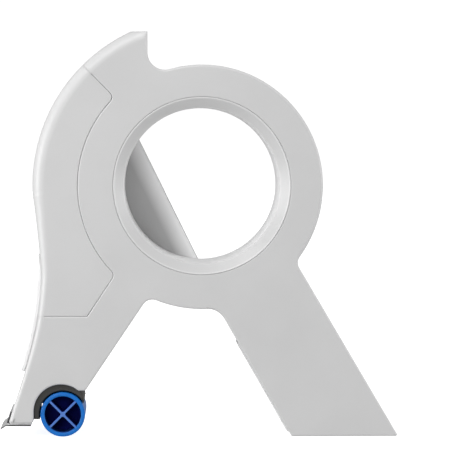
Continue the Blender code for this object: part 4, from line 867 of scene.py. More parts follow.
def spine_depth(flat):
    """How deep the spine's rounding lies below the face: a circle's fall, by the distance from the hub."""
    into = np.linalg.norm(flat - HUB, axis=-1) - (SPINE_RADIUS - SPINE_ROUND)
    into = np.clip(into, 0, SPINE_ROUND)
    return SPINE_ROUND - np.sqrt(SPINE_ROUND**2 - into**2)


def hook_top(rounding):
    """The rounded band under the hook's flat top: rows of (across, up, depth) from right to left. Each column
    runs from the flat top to the circle where the rounding ends, and each of its rows lies on one circle."""
    count = math.ceil((HOOK_X - polar(HUB, SPINE_RADIUS, spine_top_angle())[0]) / ARC_STEP) + 3
    right = HOOK_X - rounding
    left = polar(HUB, SPINE_RADIUS, spine_top_angle())[0]
    share = np.linspace(0, 1, count)
    outer = np.column_stack([right + (left - right) * share, np.full(count, BODY_HEIGHT)])
    inner_radius = SPINE_RADIUS - SPINE_ROUND
    first = math.acos((right - HUB_X) / inner_radius)
    last = math.radians(spine_top_angle())
    angles = first + (last - first) * share
    inner = HUB + inner_radius * np.column_stack([np.cos(angles), np.sin(angles)])
    way = inner - outer
    way /= np.linalg.norm(way, axis=1)[:, None]
    reach = np.linalg.norm(outer - HUB, axis=1) - inner_radius
    turn = np.arcsin(np.clip(reach / SPINE_ROUND, 0, 1))[None] * QUARTER[:, None]
    radius = inner_radius + SPINE_ROUND * np.sin(turn)
    middle = -np.sum((outer - HUB) * way, axis=1)
    offset = np.sum((outer - HUB) ** 2, axis=1) - middle**2
    distance = middle - np.sqrt(np.maximum(radius**2 - offset, 0))
    flat = outer[None] + way[None] * distance[..., None]
    support = inner + way * SUPPORT
    rows = np.concatenate([support[None], flat])
    depth = np.concatenate([np.zeros((1, count)), SPINE_ROUND * (1 - np.cos(turn))])
    return np.concatenate([rows, depth[..., None]], axis=-1)


def hook_walls(end, band, rim):
    """The end wall and the top as runs for the walls below the edge, their insides meeting at one corner."""
    excess = np.clip((end["at"][:, 1] - (BODY_HEIGHT - WALL)) / WALL, 0, 1)
    end = {**end, "inward": np.column_stack([np.full(len(excess), -1.0), -excess])}
    top = band[-1, :, :2]
    excess = np.clip((top[:, 0] - (HOOK_X - WALL)) / WALL, 0, 1)
    return end, stretch(top, np.column_stack([-excess, np.full(len(excess), -1.0)]), rim=rim)


def side_moulding(surface, before_hook, after_hook, hook_round, rim, seam_round, front_holes, back_holes):
    """One side: its rounded front, walls and flat faces, closed along the grip's seam. before_hook runs from
    the lower seam round to the hook's end wall, and after_hook from the flat top to the upper seam."""
    band = hook_top(hook_round)
    heights = band[:, 0, 1]
    at = np.column_stack([np.full(len(heights), HOOK_X), heights])
    end = stretch(at, (-1, 0), round=hook_round, rim=rim, support=0)
    end_walls, top_walls = hook_walls(end, band, rim)
    first = rounded_rows(before_hook)
    wall_end = rounded_rows(end)
    wall_end[..., 2] += spine_depth(wall_end[..., :2])
    spine = rounded_rows(after_hook)
    lower = np.concatenate([first, wall_end], axis=1)
    upper = np.concatenate([band, spine[:, 1:]], axis=1)
    walls = joined(before_hook, end_walls, top_walls, taken(after_hook, slice(1, None)))
    depth = np.concatenate([lower[-1, :, 2], upper[-1, :, 2]])
    wall = wall_rows(walls, depth)
    put = surface.place
    for rows, edge in ((lower, WEAR_AND_SHEEN), (upper, WEAR_AND_SHEEN), (wall, None)):
        surface.grid(put(rows), edge)
    seam_path = seam(SEAM, upper[0, -1, :2], lower[0, 0, :2], seam_round)
    seam_front, seam_wall = add_edge(surface, seam_path)
    surface.fill(put(wall_end[1:, -1]))
    for column, rows in ((0, lower), (-1, upper)):
        back = np.append(rows[0, column, :2], PLATE)
        surface.fill(put(np.concatenate([rows[:, column], wall[1:, column], back[None]])))
    face_end = len(before_hook["at"]) + 1
    face = np.concatenate([lower[0, :face_end], upper[0, 1:], seam_front[0, 1:-1]])
    surface.fill(put(face), *front_holes)
    surface.fill(put(np.concatenate([wall[-1], seam_wall[-1]])), *back_holes)


# Places of the posts and bosses


def on_rear_leg(share):
    """A place on the middle line of the right leg, by its height as a share of the drum's."""
    height = share * HUB_HEIGHT
    outer = LEG_REACH - height * math.tan(math.radians(LEG_OUTER_RAKE))
    inner = LEG_REACH - LEG_FOOT - height * math.tan(math.radians(LEG_INNER_RAKE))
    return np.array((HUB_X + (outer + inner) / 2, height))


BESIDE_HUB = [HUB + SPINE_RADIUS * np.array((-x, y)) for x, y in (HOOK_POST_SHARES, *GRIP_BOSS_SHARES)]
LEG_POSTS = [np.array((HUB_X - x * SPINE_RADIUS, y * HUB_HEIGHT)) for x, y in LEG_POST_SHARES]
FRAME_POSTS, GRIP_BOSSES = [BESIDE_HUB[0], *LEG_POSTS], BESIDE_HUB[1:]
REAR_POSTS = [on_rear_leg(share) for share in REAR_POST_HEIGHT_SHARES]


def post(surface, place):
    """A post on a plate's inside, with the blind hole for its screw."""
    bore = SCREW_RADIUS + GAP / 2
    bottom = SCREW_SEAT - SCREW_LENGTH - NEAR
    end = POST_END - NEAR
    foot = POST_RADIUS + 2 * SUPPORT
    profile = [
        (0, bottom, 0), (bore, bottom, 0), (bore, end, RIM_ROUND), (POST_RADIUS, end, RIM_ROUND),
        (POST_RADIUS, PLATE, RIM_ROUND), (foot, PLATE, 0),
    ]
    return through(surface, place, softened(profile))[1]


def well(surface, place):
    """A sunk seat for a screw's head, open to the outer face, with its boss behind the plate."""
    head = HEAD_RADIUS + GAP
    shank = SCREW_RADIUS + GAP
    floor = WELL_DEPTH + WELL_FLOOR
    profile = [
        (head + 2 * SUPPORT, 0, 0), (head, 0, RIM_ROUND), (head, WELL_DEPTH, RIM_ROUND),
        (shank, WELL_DEPTH, 0), (shank, floor, 0), (WELL_RADIUS, floor, RIM_ROUND),
        (WELL_RADIUS, PLATE, RIM_ROUND / 2), (WELL_RADIUS + SUPPORT, PLATE, 0),
    ]
    return through(surface, place, softened(profile))


# The mouldings


def near_side(finish):
    """The near side: plate, rims, the sloped seat and collar round the drum, and its posts."""
    surface = Surface(NEAR, 1)
    lip = FLARE_RADIUS + SEAM
    window = [
        (lip + 2 * SUPPORT, 0, 0), (lip, 0, SEAM_ROUND), (lip, FLARE_LIP + GAP, 0),
        (WINDOW_RADIUS, FLARE_DEPTH + DRUM_WALL / 2 + GAP, 0), (WINDOW_RADIUS, COLLAR_DEPTH, RIM_ROUND),
        (COLLAR_RADIUS, COLLAR_DEPTH, RIM_ROUND), (COLLAR_RADIUS, PLATE, RIM_ROUND),
        (COLLAR_RADIUS + 2 * SUPPORT, PLATE, 0),
    ]
    front, back = through(surface, HUB, softened(window), TURNED_SIDES)
    posts = [post(surface, place) for place in (*FRAME_POSTS, *REAR_POSTS)]
    foot = cut_at_height(lower_front(), GRIP_FOOT_HEIGHT - SEAM * FOOT_SEAM_SHARE, below=True)
    before = chain(foot, toe(), recess_and_tail(), crotch(), leg_to_notch())
    before = refinished(before, wall=np.where(before["rim"] > PLATE + WELD, WALL, RIM_ROUND))
    after = cut_at_seam(spine_arc(), SEAM, after=False)
    side_moulding(surface, before, after, DISC_ROUND, RIM_DEPTH, SEAM_ROUND, [front], [back, *posts])
    piece(surface, "near_frame_moulding", "frame", finish, "body", "near_side_frame")


def free_edge():
    """The far side's straight free edge, from the crotch up past the drum, then up to the hook's end wall."""
    way = lean(FREE_EDGE_RAKE)
    base = HUB + left_of(way) * FREE_EDGE_OFFSET
    low = line_meets_circle(base, way, HUB, CROTCH_RADIUS, far=False)
    bend = lines_meet(base, way, np.array((0, FREE_EDGE_HEIGHT)), (1, 0))
    hook = np.array((HOOK_X, HUB_HEIGHT + DISC_RADIUS))
    before = polar(HUB, CROTCH_RADIUS, angle_of(HUB, low) - CROTCH_AIM)
    finish = {"rim": PLATE, "inner_round": FREE_EDGE_ROUND}
    upper = corner(bend, hook, HOOK_CORNER, FREE_EDGE_FILLET, ARC_STEP, **finish)
    return low, chain(
        corner(before, low, bend, CORNER_FILLET, **finish),
        corner(low, bend, hook, FREE_EDGE_FILLET, ARC_STEP, **finish),
        upper,
        refinished(taken(upper, LAST), rim=FAR - SHELL_START, inner_round=RIM_ROUND),
    )


def on_lobe(angle):
    return polar(ROLLER, AXLE_LOBE_RADIUS, angle)


def far_side(finish):
    """The far side: cheek, outer walls, the wall behind the roll, the solid toe and the axle's boss."""
    surface = Surface(FAR, -1)
    deep = FAR - SHELL_START
    boss_end = FAR - AXLE_BOSS_START
    low, edge = free_edge()
    axle = [
        (CLIP_POCKET_RADIUS + SUPPORT, 0, 0), (CLIP_POCKET_RADIUS, 0, RIM_ROUND),
        (CLIP_POCKET_RADIUS, CLIP_POCKET_DEPTH, RIM_ROUND), (BUSH_SEAT, CLIP_POCKET_DEPTH, RIM_ROUND),
        (BUSH_SEAT, boss_end, RIM_ROUND), (AXLE_BOSS_RADIUS, boss_end, RIM_ROUND),
        (AXLE_BOSS_RADIUS, PLATE, RIM_ROUND / 2), (AXLE_BOSS_RADIUS + SUPPORT, PLATE, 0),
    ]
    openings = [through(surface, ROLLER, softened(axle))]
    openings += [well(surface, place) for place in FRAME_POSTS]
    left, left_hollow = left_crotch_fillet()
    drop = math.degrees(math.asin((RECESS[1] - ROLLER[1]) / AXLE_LOBE_RADIUS))
    lobe_start, lobe_end = on_lobe(180 - drop), on_lobe(360)
    step = (TOE_EDGE, RECESS[1])
    front = cut_at_height(lower_front(), GRIP_FOOT_HEIGHT - SEAM * FOOT_SEAM_SHARE, below=True)
    plain = {"rim": PLATE}
    before = chain(
        refinished(front, rim=deep),
        refinished(taken(toe(), slice(-1)), rim=deep),
        corner((TOE_EDGE, TOE_HEIGHT), step, lobe_start, EDGE_ROUND, **plain),
        corner(step, lobe_start, on_lobe(180 - drop + LOBE_AIM), EDGE_ROUND, **plain),
        arc(ROLLER, AXLE_LOBE_RADIUS, 180 - drop + LOBE_START, 360 - LOBE_END, SMALL_ARC_STEP, **plain),
        corner(on_lobe(360 - LOBE_AIM), lobe_end, TAIL, EDGE_ROUND, **plain),
        corner(lobe_end, TAIL, TAIL + lean(-TAIL_RAKE), CORNER_FILLET, **plain),
        left_hollow,
        arc(HUB, CROTCH_RADIUS, angle_of(HUB, left), angle_of(HUB, low) - CROTCH_END, **plain),
        edge,
    )
    before = refinished(before, wall=np.where(before["rim"] > PLATE + WELD, WALL, before["inner_round"]))
    after = refinished(cut_at_seam(spine_arc(), SEAM, after=False), rim=deep)
    fronts, backs = zip(*openings)
    side_moulding(surface, before, after, EDGE_ROUND, deep, FAR_SEAM_ROUND, list(fronts), list(backs))
    inner_parts(surface)
    piece(surface, "far_frame_moulding", "frame", finish, "body", "far_side_frame")


def inner_parts(surface):
    """What stands on the far cheek's inside: the wall behind the roll, the guard's arch and the toe."""
    shallow = PLATE - GAP
    outer, inner = SPINE_WALL_RADIUS, SPINE_WALL_RADIUS - SPINE_WALL
    hook_angle = math.degrees(math.acos(-(HOOK_REACH + WALL / 2) / outer))
    foot = polar(RECESS, GUARD_SEAT + SPINE_WALL / 2, 90)
    half = np.array((SPINE_WALL / 2, 0))
    wall = [
        arc(HUB, outer, hook_angle, 180)["at"],
        [foot - half, foot + half],
        arc(HUB, inner, 180, hook_angle)["at"],
    ]
    prism(surface, wall, shallow, FAR - PLATE_BACK - GAP, RIM_ROUND)
    arch = [
        arc(RECESS, GUARD_SEAT + SPINE_WALL, ARCH_START_ANGLE, 180, 2 * SMALL_ARC_STEP)["at"],
        arc(RECESS, GUARD_SEAT, 180, ARCH_START_ANGLE, 2 * SMALL_ARC_STEP)["at"],
    ]
    prism(surface, arch, shallow, FAR - SHELL_START - GAP, RIM_ROUND)
    front = moved_in(lower_front(), WALL / 2)
    front = front[(front[:, 1] < TOE_BLOCK_TOP) & (front[:, 1] > TOE_HEIGHT + WALL)]
    over = math.degrees(math.asin((TOE_BLOCK_TOP - RECESS[1]) / GUARD_SEAT))
    back = arc(RECESS, GUARD_SEAT, 180, 180 - over, 2 * SMALL_ARC_STEP)["at"]
    block = [front, [(TOE_EDGE - WALL / 2, TOE_HEIGHT + WALL / 2)], back]
    prism(surface, block, shallow, FAR - SHELL_START - GAP / 2, RIM_ROUND)


def spine_grip(finish):
    """The grip: near and far cheeks and the rounded wall between them, closed along the seam."""
    top = cut_at_seam(spine_arc(), 0, after=True)
    outer = chain(top, cut_at_height(lower_front(), GRIP_FOOT_HEIGHT, below=False))
    near, far = Surface(NEAR, 1), Surface(FAR, -1)
    rows = rounded_rows(outer)
    start, end = rows[0, 0, :2], rows[0, -1, :2]
    inside = np.column_stack([moved_in(outer, WALL), np.full(len(outer["at"]), PLATE)])
    openings = [well(far, place) for place in GRIP_BOSSES]
    both = np.concatenate([near.place(rows), far.place(rows[::-1])])
    near.grid(both, edge=[*WEAR_AND_SHEEN, *WEAR_AND_SHEEN[::-1]])
    near.grid(np.stack([near.place(inside), far.place(inside)]))
    for side, holes, size in ((near, [], SEAM_ROUND), (far, openings, FAR_SEAM_ROUND)):
        line_front, line_wall = add_edge(side, reversed_path(seam(0, start, end, size)))
        side.fill(side.place(np.concatenate([rows[0], line_front[0, 1:-1]])), *[h[0] for h in holes])
        side.fill(side.place(np.concatenate([inside, line_wall[-1]])), *[h[1] for h in holes])
    for column in (0, -1):
        back = np.append(rows[0, column, :2], PLATE)[None]
        inner = inside[column][None]
        near_half = near.place(np.concatenate([inner, back, rows[:, column]]))
        far_half = far.place(np.concatenate([rows[::-1, column], back, inner]))
        near.fill(np.concatenate([near_half, far_half]))
    near.take(far)
    piece(near, "spine_grip_shell", "frame", finish, "grip", "spine_grip")


def rear_leg(finish):
    """The rear half of the right leg: a tray with a rounded outer face, wider along its inner edge."""
    inner = lean(LEG_INNER_RAKE)
    outer = lean(LEG_OUTER_RAKE)
    lap = np.array((-math.cos(math.radians(LEG_INNER_RAKE)), -math.sin(math.radians(LEG_INNER_RAKE))))
    base = FOOT + lap * LAP_SHOWN
    lap_height = LEG_LAP_TOP - LAP_TOP_SHIFT
    wide_foot = lines_meet(base, inner, np.zeros(2), (1, 0))
    lap_top = lines_meet(base, inner, np.array((0, lap_height)), (1, 0))
    edge_top = lines_meet(FOOT, inner, np.array((0, lap_height + LAP_SHOWN)), (1, 0))
    free_way = lean(FREE_EDGE_RAKE)
    beside = HUB + left_of(free_way) * (FREE_EDGE_OFFSET - GAP)
    high = line_meets_circle(beside, free_way, HUB, SPINE_WALL_RADIUS, far=False)
    over = line_meets_circle(HEEL, outer, HUB, SPINE_WALL_RADIUS, far=False)
    first, last = angle_of(HUB, over), angle_of(HUB, high)
    path = chain(
        corner(wide_foot, HEEL, over, FOOT_ROUND),
        corner(HEEL, over, polar(HUB, SPINE_WALL_RADIUS, first - SHELL_AIM), EDGE_ROUND),
        arc(HUB, SPINE_WALL_RADIUS, first - SHELL_END, last + SHELL_END),
        corner(polar(HUB, SPINE_WALL_RADIUS, last + SHELL_AIM), high, FOOT, EDGE_ROUND),
        corner(high, edge_top, lap_top, EDGE_ROUND),
        corner(edge_top, lap_top, wide_foot, EDGE_ROUND),
        corner(lap_top, wide_foot, HEEL, FOOT_ROUND),
    )
    path = refinished(path, rim=FAR - LEG_SHELL_START)
    surface = Surface(FAR, -1)
    openings = [well(surface, place) for place in REAR_POSTS]
    rows, wall = add_edge(surface, path, closed=True)
    surface.fill(surface.place(rows[0]), *[o[0] for o in openings])
    surface.fill(surface.place(wall[-1]), *[o[1] for o in openings])
    piece(surface, "rear_leg_moulding", "frame", finish, "body", "rear_leg_shell")


def apron(finish):
    """The strip in front of the lower spine: the front line moved out by its thickness, thin at the top."""
    points = spine_curve()
    points = points[(points[:, 1] > APRON_BOTTOM) & (points[:, 1] < APRON_TOP)]
    line = along_curve(points)
    thick = np.clip((APRON_TOP - points[:, 1]) / (APRON_TOP - APRON_FULL), 0, 1)
    thick = APRON_THIN + (APRON_THICKNESS - APRON_THIN) * thick
    outline = [moved_in(line, -SEAM / 2), moved_in(line, -GAP - thick)[::-1]]
    surface = Surface()
    prism(surface, outline, SHELL_START, FAR_PLATE_FACE, SEAM_ROUND, SUPPORT / 7)
    piece(surface, "front_apron_strip", "frame", finish, "apron", "front_apron")


def guard(finish):
    """The half-round guard that hugs the roller's top and left: a ring between two circles, cut square."""
    left = GUARD_LEFT_HEIGHT
    right = HUB_X - GUARD_RIGHT_REACH
    outer_left = 180 + math.degrees(math.asin((RECESS[1] - left) / GUARD_OUTER))
    inner_left = 180 + math.degrees(math.asin((ROLLER[1] - left) / GUARD_INNER))
    outer_right = math.degrees(math.acos((right - RECESS[0]) / GUARD_OUTER))
    inner_right = math.degrees(math.acos((right - ROLLER[0]) / GUARD_INNER))
    outline = [
        arc(RECESS, GUARD_OUTER, outer_right, outer_left, 2 * SMALL_ARC_STEP)["at"],
        arc(ROLLER, GUARD_INNER, inner_left, inner_right, 2 * SMALL_ARC_STEP)["at"],
    ]
    surface = Surface()
    prism(surface, outline, PLATE_BACK + GAP, FAR_PLATE_FACE - GAP, SEAM_ROUND, SUPPORT / 3)
    piece(surface, "roller_guard_arch", "frame", finish, "guard", "roller_guard")


def drum(finish):
    """The drum: a flared bezel, a bore that narrows slightly, and a snap ridge behind the collar."""
    throat = NEAR + FLARE_DEPTH
    ridge = NEAR + COLLAR_DEPTH + GAP
    end = FAR_PLATE_FACE - GAP
    rim = np.array((FLARE_RADIUS - BEZEL_LIP, NEAR))
    down = unit((BORE_RADIUS - FLARE_RADIUS + BEZEL_LIP, FLARE_DEPTH))
    profile = [
        (*rim, LIP_ROUND), (FLARE_RADIUS, NEAR, LIP_ROUND), (FLARE_RADIUS, NEAR + FLARE_LIP, 0),
        (DRUM_RADIUS, throat + DRUM_WALL / 2, 0), (DRUM_RADIUS, ridge, 0),
        (DRUM_RADIUS + SNAP_HEIGHT, ridge, LIP_ROUND), (DRUM_RADIUS, ridge + SNAP_WIDTH, 0),
        (DRUM_RADIUS, end, RIM_ROUND), (BORE_RADIUS - BORE_TAPER, end, RIM_ROUND),
        (BORE_RADIUS, throat + THROAT_REACH, 0), (BORE_RADIUS, throat, 2 * RIM_ROUND),
        (*(np.array((BORE_RADIUS, throat)) - down * THROAT_REACH), 0), (*(rim + down * BEZEL_LIP_REACH), 0),
    ]
    profile = softened(profile, closed=True)
    profile = np.concatenate([profile, profile[:1]])
    radius, depth = profile.T
    # The bezel's lip and the throat's edge are rubbed and painted paler, a painted highlight.
    near_throat = (np.abs(depth - throat) < WEAR_AND_SHEEN_REACH) & (radius < BORE_RADIUS + WEAR_AND_SHEEN_WIDTH)
    wear_and_sheen = (depth < NEAR + WEAR_AND_SHEEN_DEPTH) + 0.6 * near_throat
    surface = Surface()
    turned(surface, profile, HUB, 2 * TURNED_SIDES, wear_and_sheen)
    piece(surface, "roll_drum", "drum", finish, "drum", "hub_drum")


def roller(finish):
    """The press roller: a rim with rounded ends, a web with its boss, and crossed ribs with soft edges."""
    bore = ROLLER_RADIUS - ROLLER_RIM
    socket = SHAFT_START - GAP
    shaft = SHAFT_RADIUS + GAP
    profile = [
        (0, WEB_START, 0), (bore, WEB_START, 2 * RIM_ROUND), (bore, ROLLER_START, RIM_ROUND),
        (ROLLER_RADIUS, ROLLER_START, 2 * RIM_ROUND), (ROLLER_RADIUS, ROLLER_END, 2 * RIM_ROUND),
        (bore, ROLLER_END, RIM_ROUND), (bore, WEB_END, 2 * RIM_ROUND),
        (ROLLER_BOSS_RADIUS, WEB_END, RIM_ROUND), (ROLLER_BOSS_RADIUS, ROLLER_BOSS_END, RIM_ROUND),
        (shaft, ROLLER_BOSS_END, BORE_LIP_ROUND), (shaft, socket, 0), (0, socket, 0),
    ]
    surface = Surface()
    turned(surface, softened(profile), ROLLER, TURNED_SIDES)
    reach, half = bore + ROLLER_RIM / 2, ROLLER_RIB / 2
    arm = np.array([(half, half), (reach, half), (reach, -half)])
    arms = []
    for turn in np.radians(45 - 90 * np.arange(4)):
        spin = np.array([(np.cos(turn), np.sin(turn)), (-np.sin(turn), np.cos(turn))])
        arms.append(np.column_stack([arm @ spin, (3 * RIM_ROUND, 0, 0)]))
    cross = softened(np.concatenate(arms), closed=True) + ROLLER
    prism(surface, [cross], ROLLER_START + GAP, WEB_START + ROLLER_WEB / 4, RIB_ROUND, SUPPORT / 3)
    piece(surface, "press_roller_body", "roller", finish, "roller", "press_roller")


def small_turned(name, body, finish, slot, node, profile):
    surface = Surface()
    closed = profile[0][0] > 0
    made = softened(profile, closed=closed)
    made = np.concatenate([made, made[:1]]) if closed else made
    turned(surface, made, ROLLER, SMALL_SIDES)
    piece(surface, name, body, finish, slot, node)


def shaft_parts(steel, bush):
    """The shaft with its groove, the two flanged bushes, the washer and the open clip."""
    groove = SHAFT_RADIUS - GROOVE_DEPTH
    low, high = CLIP_START - GAP / 2, CLIP_START + CLIP_THICKNESS + GAP / 2
    shaft = [
        (0, SHAFT_START, 0), (SHAFT_RADIUS, SHAFT_START, 2 * FINE_ROUND), (SHAFT_RADIUS, low, FINE_ROUND),
        (groove, low, 0), (groove, high, 0), (SHAFT_RADIUS, high, FINE_ROUND),
        (SHAFT_RADIUS, SHAFT_END, 3 * FINE_ROUND), (0, SHAFT_END, 0),
    ]
    small_turned("roller_shaft_pin", "roller", steel, "shaft", "roller_shaft", shaft)
    for side, start, sleeve in (
        ("inner", INNER_FLANGE_START, 1), ("outer", OUTER_FLANGE_START + FLANGE_THICKNESS, -1),
    ):
        flange = start + sleeve * FLANGE_THICKNESS
        end = flange + sleeve * BUSH_LENGTH
        profile = [
            (BUSH_BORE, start, FINE_ROUND), (FLANGE_RADIUS, start, FINE_ROUND),
            (FLANGE_RADIUS, flange, FINE_ROUND), (BUSH_RADIUS, flange, FINE_ROUND),
            (BUSH_RADIUS, end, 2 * FINE_ROUND), (BUSH_BORE, end, FINE_ROUND),
        ]
        small_turned(f"bush_{side}_ring", "frame", bush, "bush", f"shaft_bush_{side}", profile)
    end = WASHER_START + WASHER_THICKNESS
    sides = ((BUSH_BORE, WASHER_START), (FLANGE_RADIUS, WASHER_START), (FLANGE_RADIUS, end), (BUSH_BORE, end))
    washer = [(*place, FINE_ROUND) for place in sides]
    small_turned("thrust_washer_ring", "roller", bush, "bush", "thrust_washer", washer)
    clip(steel)


def clip(finish):
    """The open clip: the space between two circles, with a straight mouth at the top."""
    inner = SHAFT_RADIUS - GROOVE_DEPTH + GAP
    mouth = math.degrees(math.asin(inner / CLIP_RADIUS))
    outer = arc(ROLLER, CLIP_RADIUS, 90 + mouth, 450 - mouth, SMALL_ARC_STEP)["at"]
    hole = arc(ROLLER, inner, 360, 180, SMALL_ARC_STEP)["at"]
    surface = Surface()
    prism(surface, [outer, hole], CLIP_START, CLIP_START + CLIP_THICKNESS, CLIP_ROUND, CLIP_SUPPORT)
    piece(surface, "shaft_clip_ring", "roller", finish, "shaft", "shaft_clip")


# Screws


def screw_surface(place):
    """A pan-head screw with a six-sided drive recess, its head towards the far side. Its thread is a wave in
    the radius that climbs once round for each turn."""
    seat = SCREW_SEAT + GAP
    top = seat + HEAD_HEIGHT
    end = SCREW_SEAT - SCREW_LENGTH + GAP
    turn = full_turn(SMALL_SIDES)
    depth = np.linspace(end + SCREW_RADIUS, seat, THREAD_ROWS)[:, None]
    wave = np.abs(((depth / THREAD_PITCH + turn / (2 * math.pi)) % 1) - 0.5) * 2
    radius = SCREW_RADIUS - THREAD_DEPTH * wave
    crown, crown_drop = HEAD_CROWN_SHARES
    head = softened(
        [
            (SCREW_RADIUS, seat, 0), (HEAD_RADIUS, seat, HEAD_EDGE_ROUND),
            (HEAD_RADIUS, top - HEAD_HEIGHT * HEAD_SIDE_SHARE, HEAD_SIDE_ROUND),
            (HEAD_RADIUS * crown, top - HEAD_HEIGHT * crown_drop, HEAD_CROWN_ROUND),
            (DRIVE_RADIUS * DRIVE_RIM, top, 0),
        ]
    )
    side = math.pi / 3
    six = DRIVE_RADIUS * math.cos(side / 2) / np.cos((turn % side) - side / 2)
    rows = [
        rings(0, end),
        rings(radius[0] * SCREW_TIP_SHARE, end),
        *rings(radius, depth),
        *rings(head[:, :1], head[:, 1:]),
        rings(six * DRIVE_MOUTH, top),
        rings(six, top - DRIVE_LIP),
        rings(six, top - DRIVE_DEPTH),
        rings(0, top - DRIVE_DEPTH * DRIVE_FLOOR),
    ]
    surface = Surface()
    surface.grid(surface.place(np.array(rows) + (*place, 0)), closed=True)
    return surface


def screws(finish):
    for held, places in (("frame", FRAME_POSTS), ("leg", REAR_POSTS), ("grip", GRIP_BOSSES)):
        for i, place in enumerate(places):
            node = f"{held}_screw_{i + 1}"
            piece(screw_surface(place), f"{node}_body", "frame", finish, "screws", node)
    floor = BLADE_TOP - SHEET
    corners = (
        (0, floor - BLADE_HEAD_CROWN),
        (BLADE_HEAD_RADIUS * BLADE_HEAD_FLAT, floor - BLADE_HEAD_FLAT_CROWN),
        (BLADE_HEAD_RADIUS, floor), (BLADE_SCREW_RADIUS, floor + BLADE_HEAD_HEIGHT),
        (BLADE_SCREW_RADIUS, floor + BLADE_SCREW_LENGTH - BLADE_SCREW_RADIUS),
        (0, floor + BLADE_SCREW_LENGTH),
    )
    profile = softened([(*place, HEAD_EDGE_ROUND) for place in corners])
    middle = (SHELL_START + FAR) / 2
    for i, side in enumerate((-1, 1)):
        centre = (TOE_TIP[0] + BLADE_SCREW_SETBACK, middle + side * BLADE_SCREW_SPACING / 2)
        surface = Surface()
        surface.grid(rings(profile[:, :1], profile[:, 1:], centre), closed=True)
        piece(surface, f"blade_screw_{i + 1}_body", "frame", finish, "screws", f"blade_screw_{i + 1}")


# Blade and holder


def bent_sheet(path, near, far, columns, tip_cut=None, bevel=0.0):
    """A bent sheet: its path on one side and moved by the sheet's thickness on the other, carried along the
    depth. tip_cut moves the path's first point back along its first run by a length for each column."""
    path = np.array(path)
    way = np.gradient(path, axis=0)
    way /= np.linalg.norm(way, axis=1)[:, None]
    normal = np.column_stack([-way[:, 1], way[:, 0]])
    depth = np.linspace(near, far, columns)
    under = np.broadcast_to(path[:, None], (len(path), columns, 2)).copy()
    thick = np.full(len(path), SHEET)
    thick[0] = SHEET - bevel
    over = under + (normal * thick[:, None])[:, None]
    if tip_cut is not None:
        back = unit(path[1] - path[0])
        under[0] += back * tip_cut[:, None]
        over[0] += back * tip_cut[:, None]
    loop = np.concatenate([under, over[::-1], under[:1]])
    rows = np.stack([loop[..., 0], np.broadcast_to(depth, loop.shape[:2]), loop[..., 1]], -1)
    surface = Surface()
    surface.grid(rows)
    for column in (0, -1):
        surface.fill(rows[:-1, column])
    return surface


def bent_path(start, share, bend, end, rounding):
    """Two runs that meet in a rounded bend. The first has a further point at its share of the way."""
    corners = [(*start, 0), (*(start + (bend - start) * share), 0), (*bend, rounding), (*end, 0)]
    return softened(corners, steps=6)


def blade_pieces(holder_steel, blade_steel):
    """The holder, and the blade with its saw teeth, whose cut rises and falls evenly over each tooth."""
    near, far = PLATE_BACK + BLADE_MARGIN, FAR_PLATE_FACE - BLADE_MARGIN
    front_way = unit(spine_curve()[-2 * CURVE_STEPS // 3] - TOE_TIP)
    low = HOLDER_TOP - SHEET
    bend = np.array((TOE_TIP[0] - HOLDER_GAP, low))
    top = bend + front_way * HOLDER_HEIGHT
    end = np.array((TOE_TIP[0] + FLANGE_LENGTH, low))
    runs = bent_path(top, HOLDER_EDGE_SHARE, bend, end, HOLDER_BEND_ROUND)
    sheet = bent_sheet(runs, near, far, HOLDER_COLUMNS)
    piece(sheet, "blade_holder_angle", "frame", holder_steel, "blade", "blade_holder")
    low = BLADE_TOP - SHEET
    tip = np.array((HUB_X - BLADE_REACH, BLADE_TIP_HEIGHT))
    bend = np.array((HUB_X - BLADE_REACH + BLADE_BEND, low))
    end = np.array((TOE_TIP[0] + FLANGE_LENGTH, low))
    way = unit(tip - bend)
    root = tip - way * TOOTH_DEPTH
    runs = [tip, *bent_path(root, BLADE_EDGE_SHARE, bend, end, BLADE_BEND_ROUND)]
    teeth = round((far - near) / TOOTH_PITCH)
    columns = teeth * TOOTH_COLUMNS + 1
    phase = np.linspace(0, teeth, columns) % 1
    depth = TOOTH_DEPTH * TOOTH_SHARE
    height = depth * (1 - np.abs(1 - 2 * phase))
    sheet = bent_sheet(runs, near, far, columns, depth - height, bevel=SHEET * BEVEL_SHARE)
    piece(sheet, "toothed_blade", "frame", blade_steel, "blade", "cutter_blade")


# Materials


class Socket:
    """An output of a node, with arithmetic that adds Math nodes."""

    def __init__(self, paint, output):
        self.paint, self.output = paint, output

    def out(self, key):
        """Another output of the same node."""
        return Socket(self.paint, self.output.node.outputs[key])

    def math(self, operation, *values):
        return self.paint.node("ShaderNodeMath", {"operation": operation}, dict(enumerate(values)))

    def __add__(self, other):
        return self.math("ADD", self, other)

    def __sub__(self, other):
        return self.math("SUBTRACT", self, other)

    def __rsub__(self, other):
        return self.math("SUBTRACT", other, self)

    def __mul__(self, other):
        return self.math("MULTIPLY", self, other)

    def above(self, low, high):
        """How far the value has climbed from low to high, held between 0 and 1."""
        scaled = self.math("MULTIPLY_ADD", self, 1 / (high - low), -low / (high - low))
        scaled.output.node.use_clamp = True
        return scaled


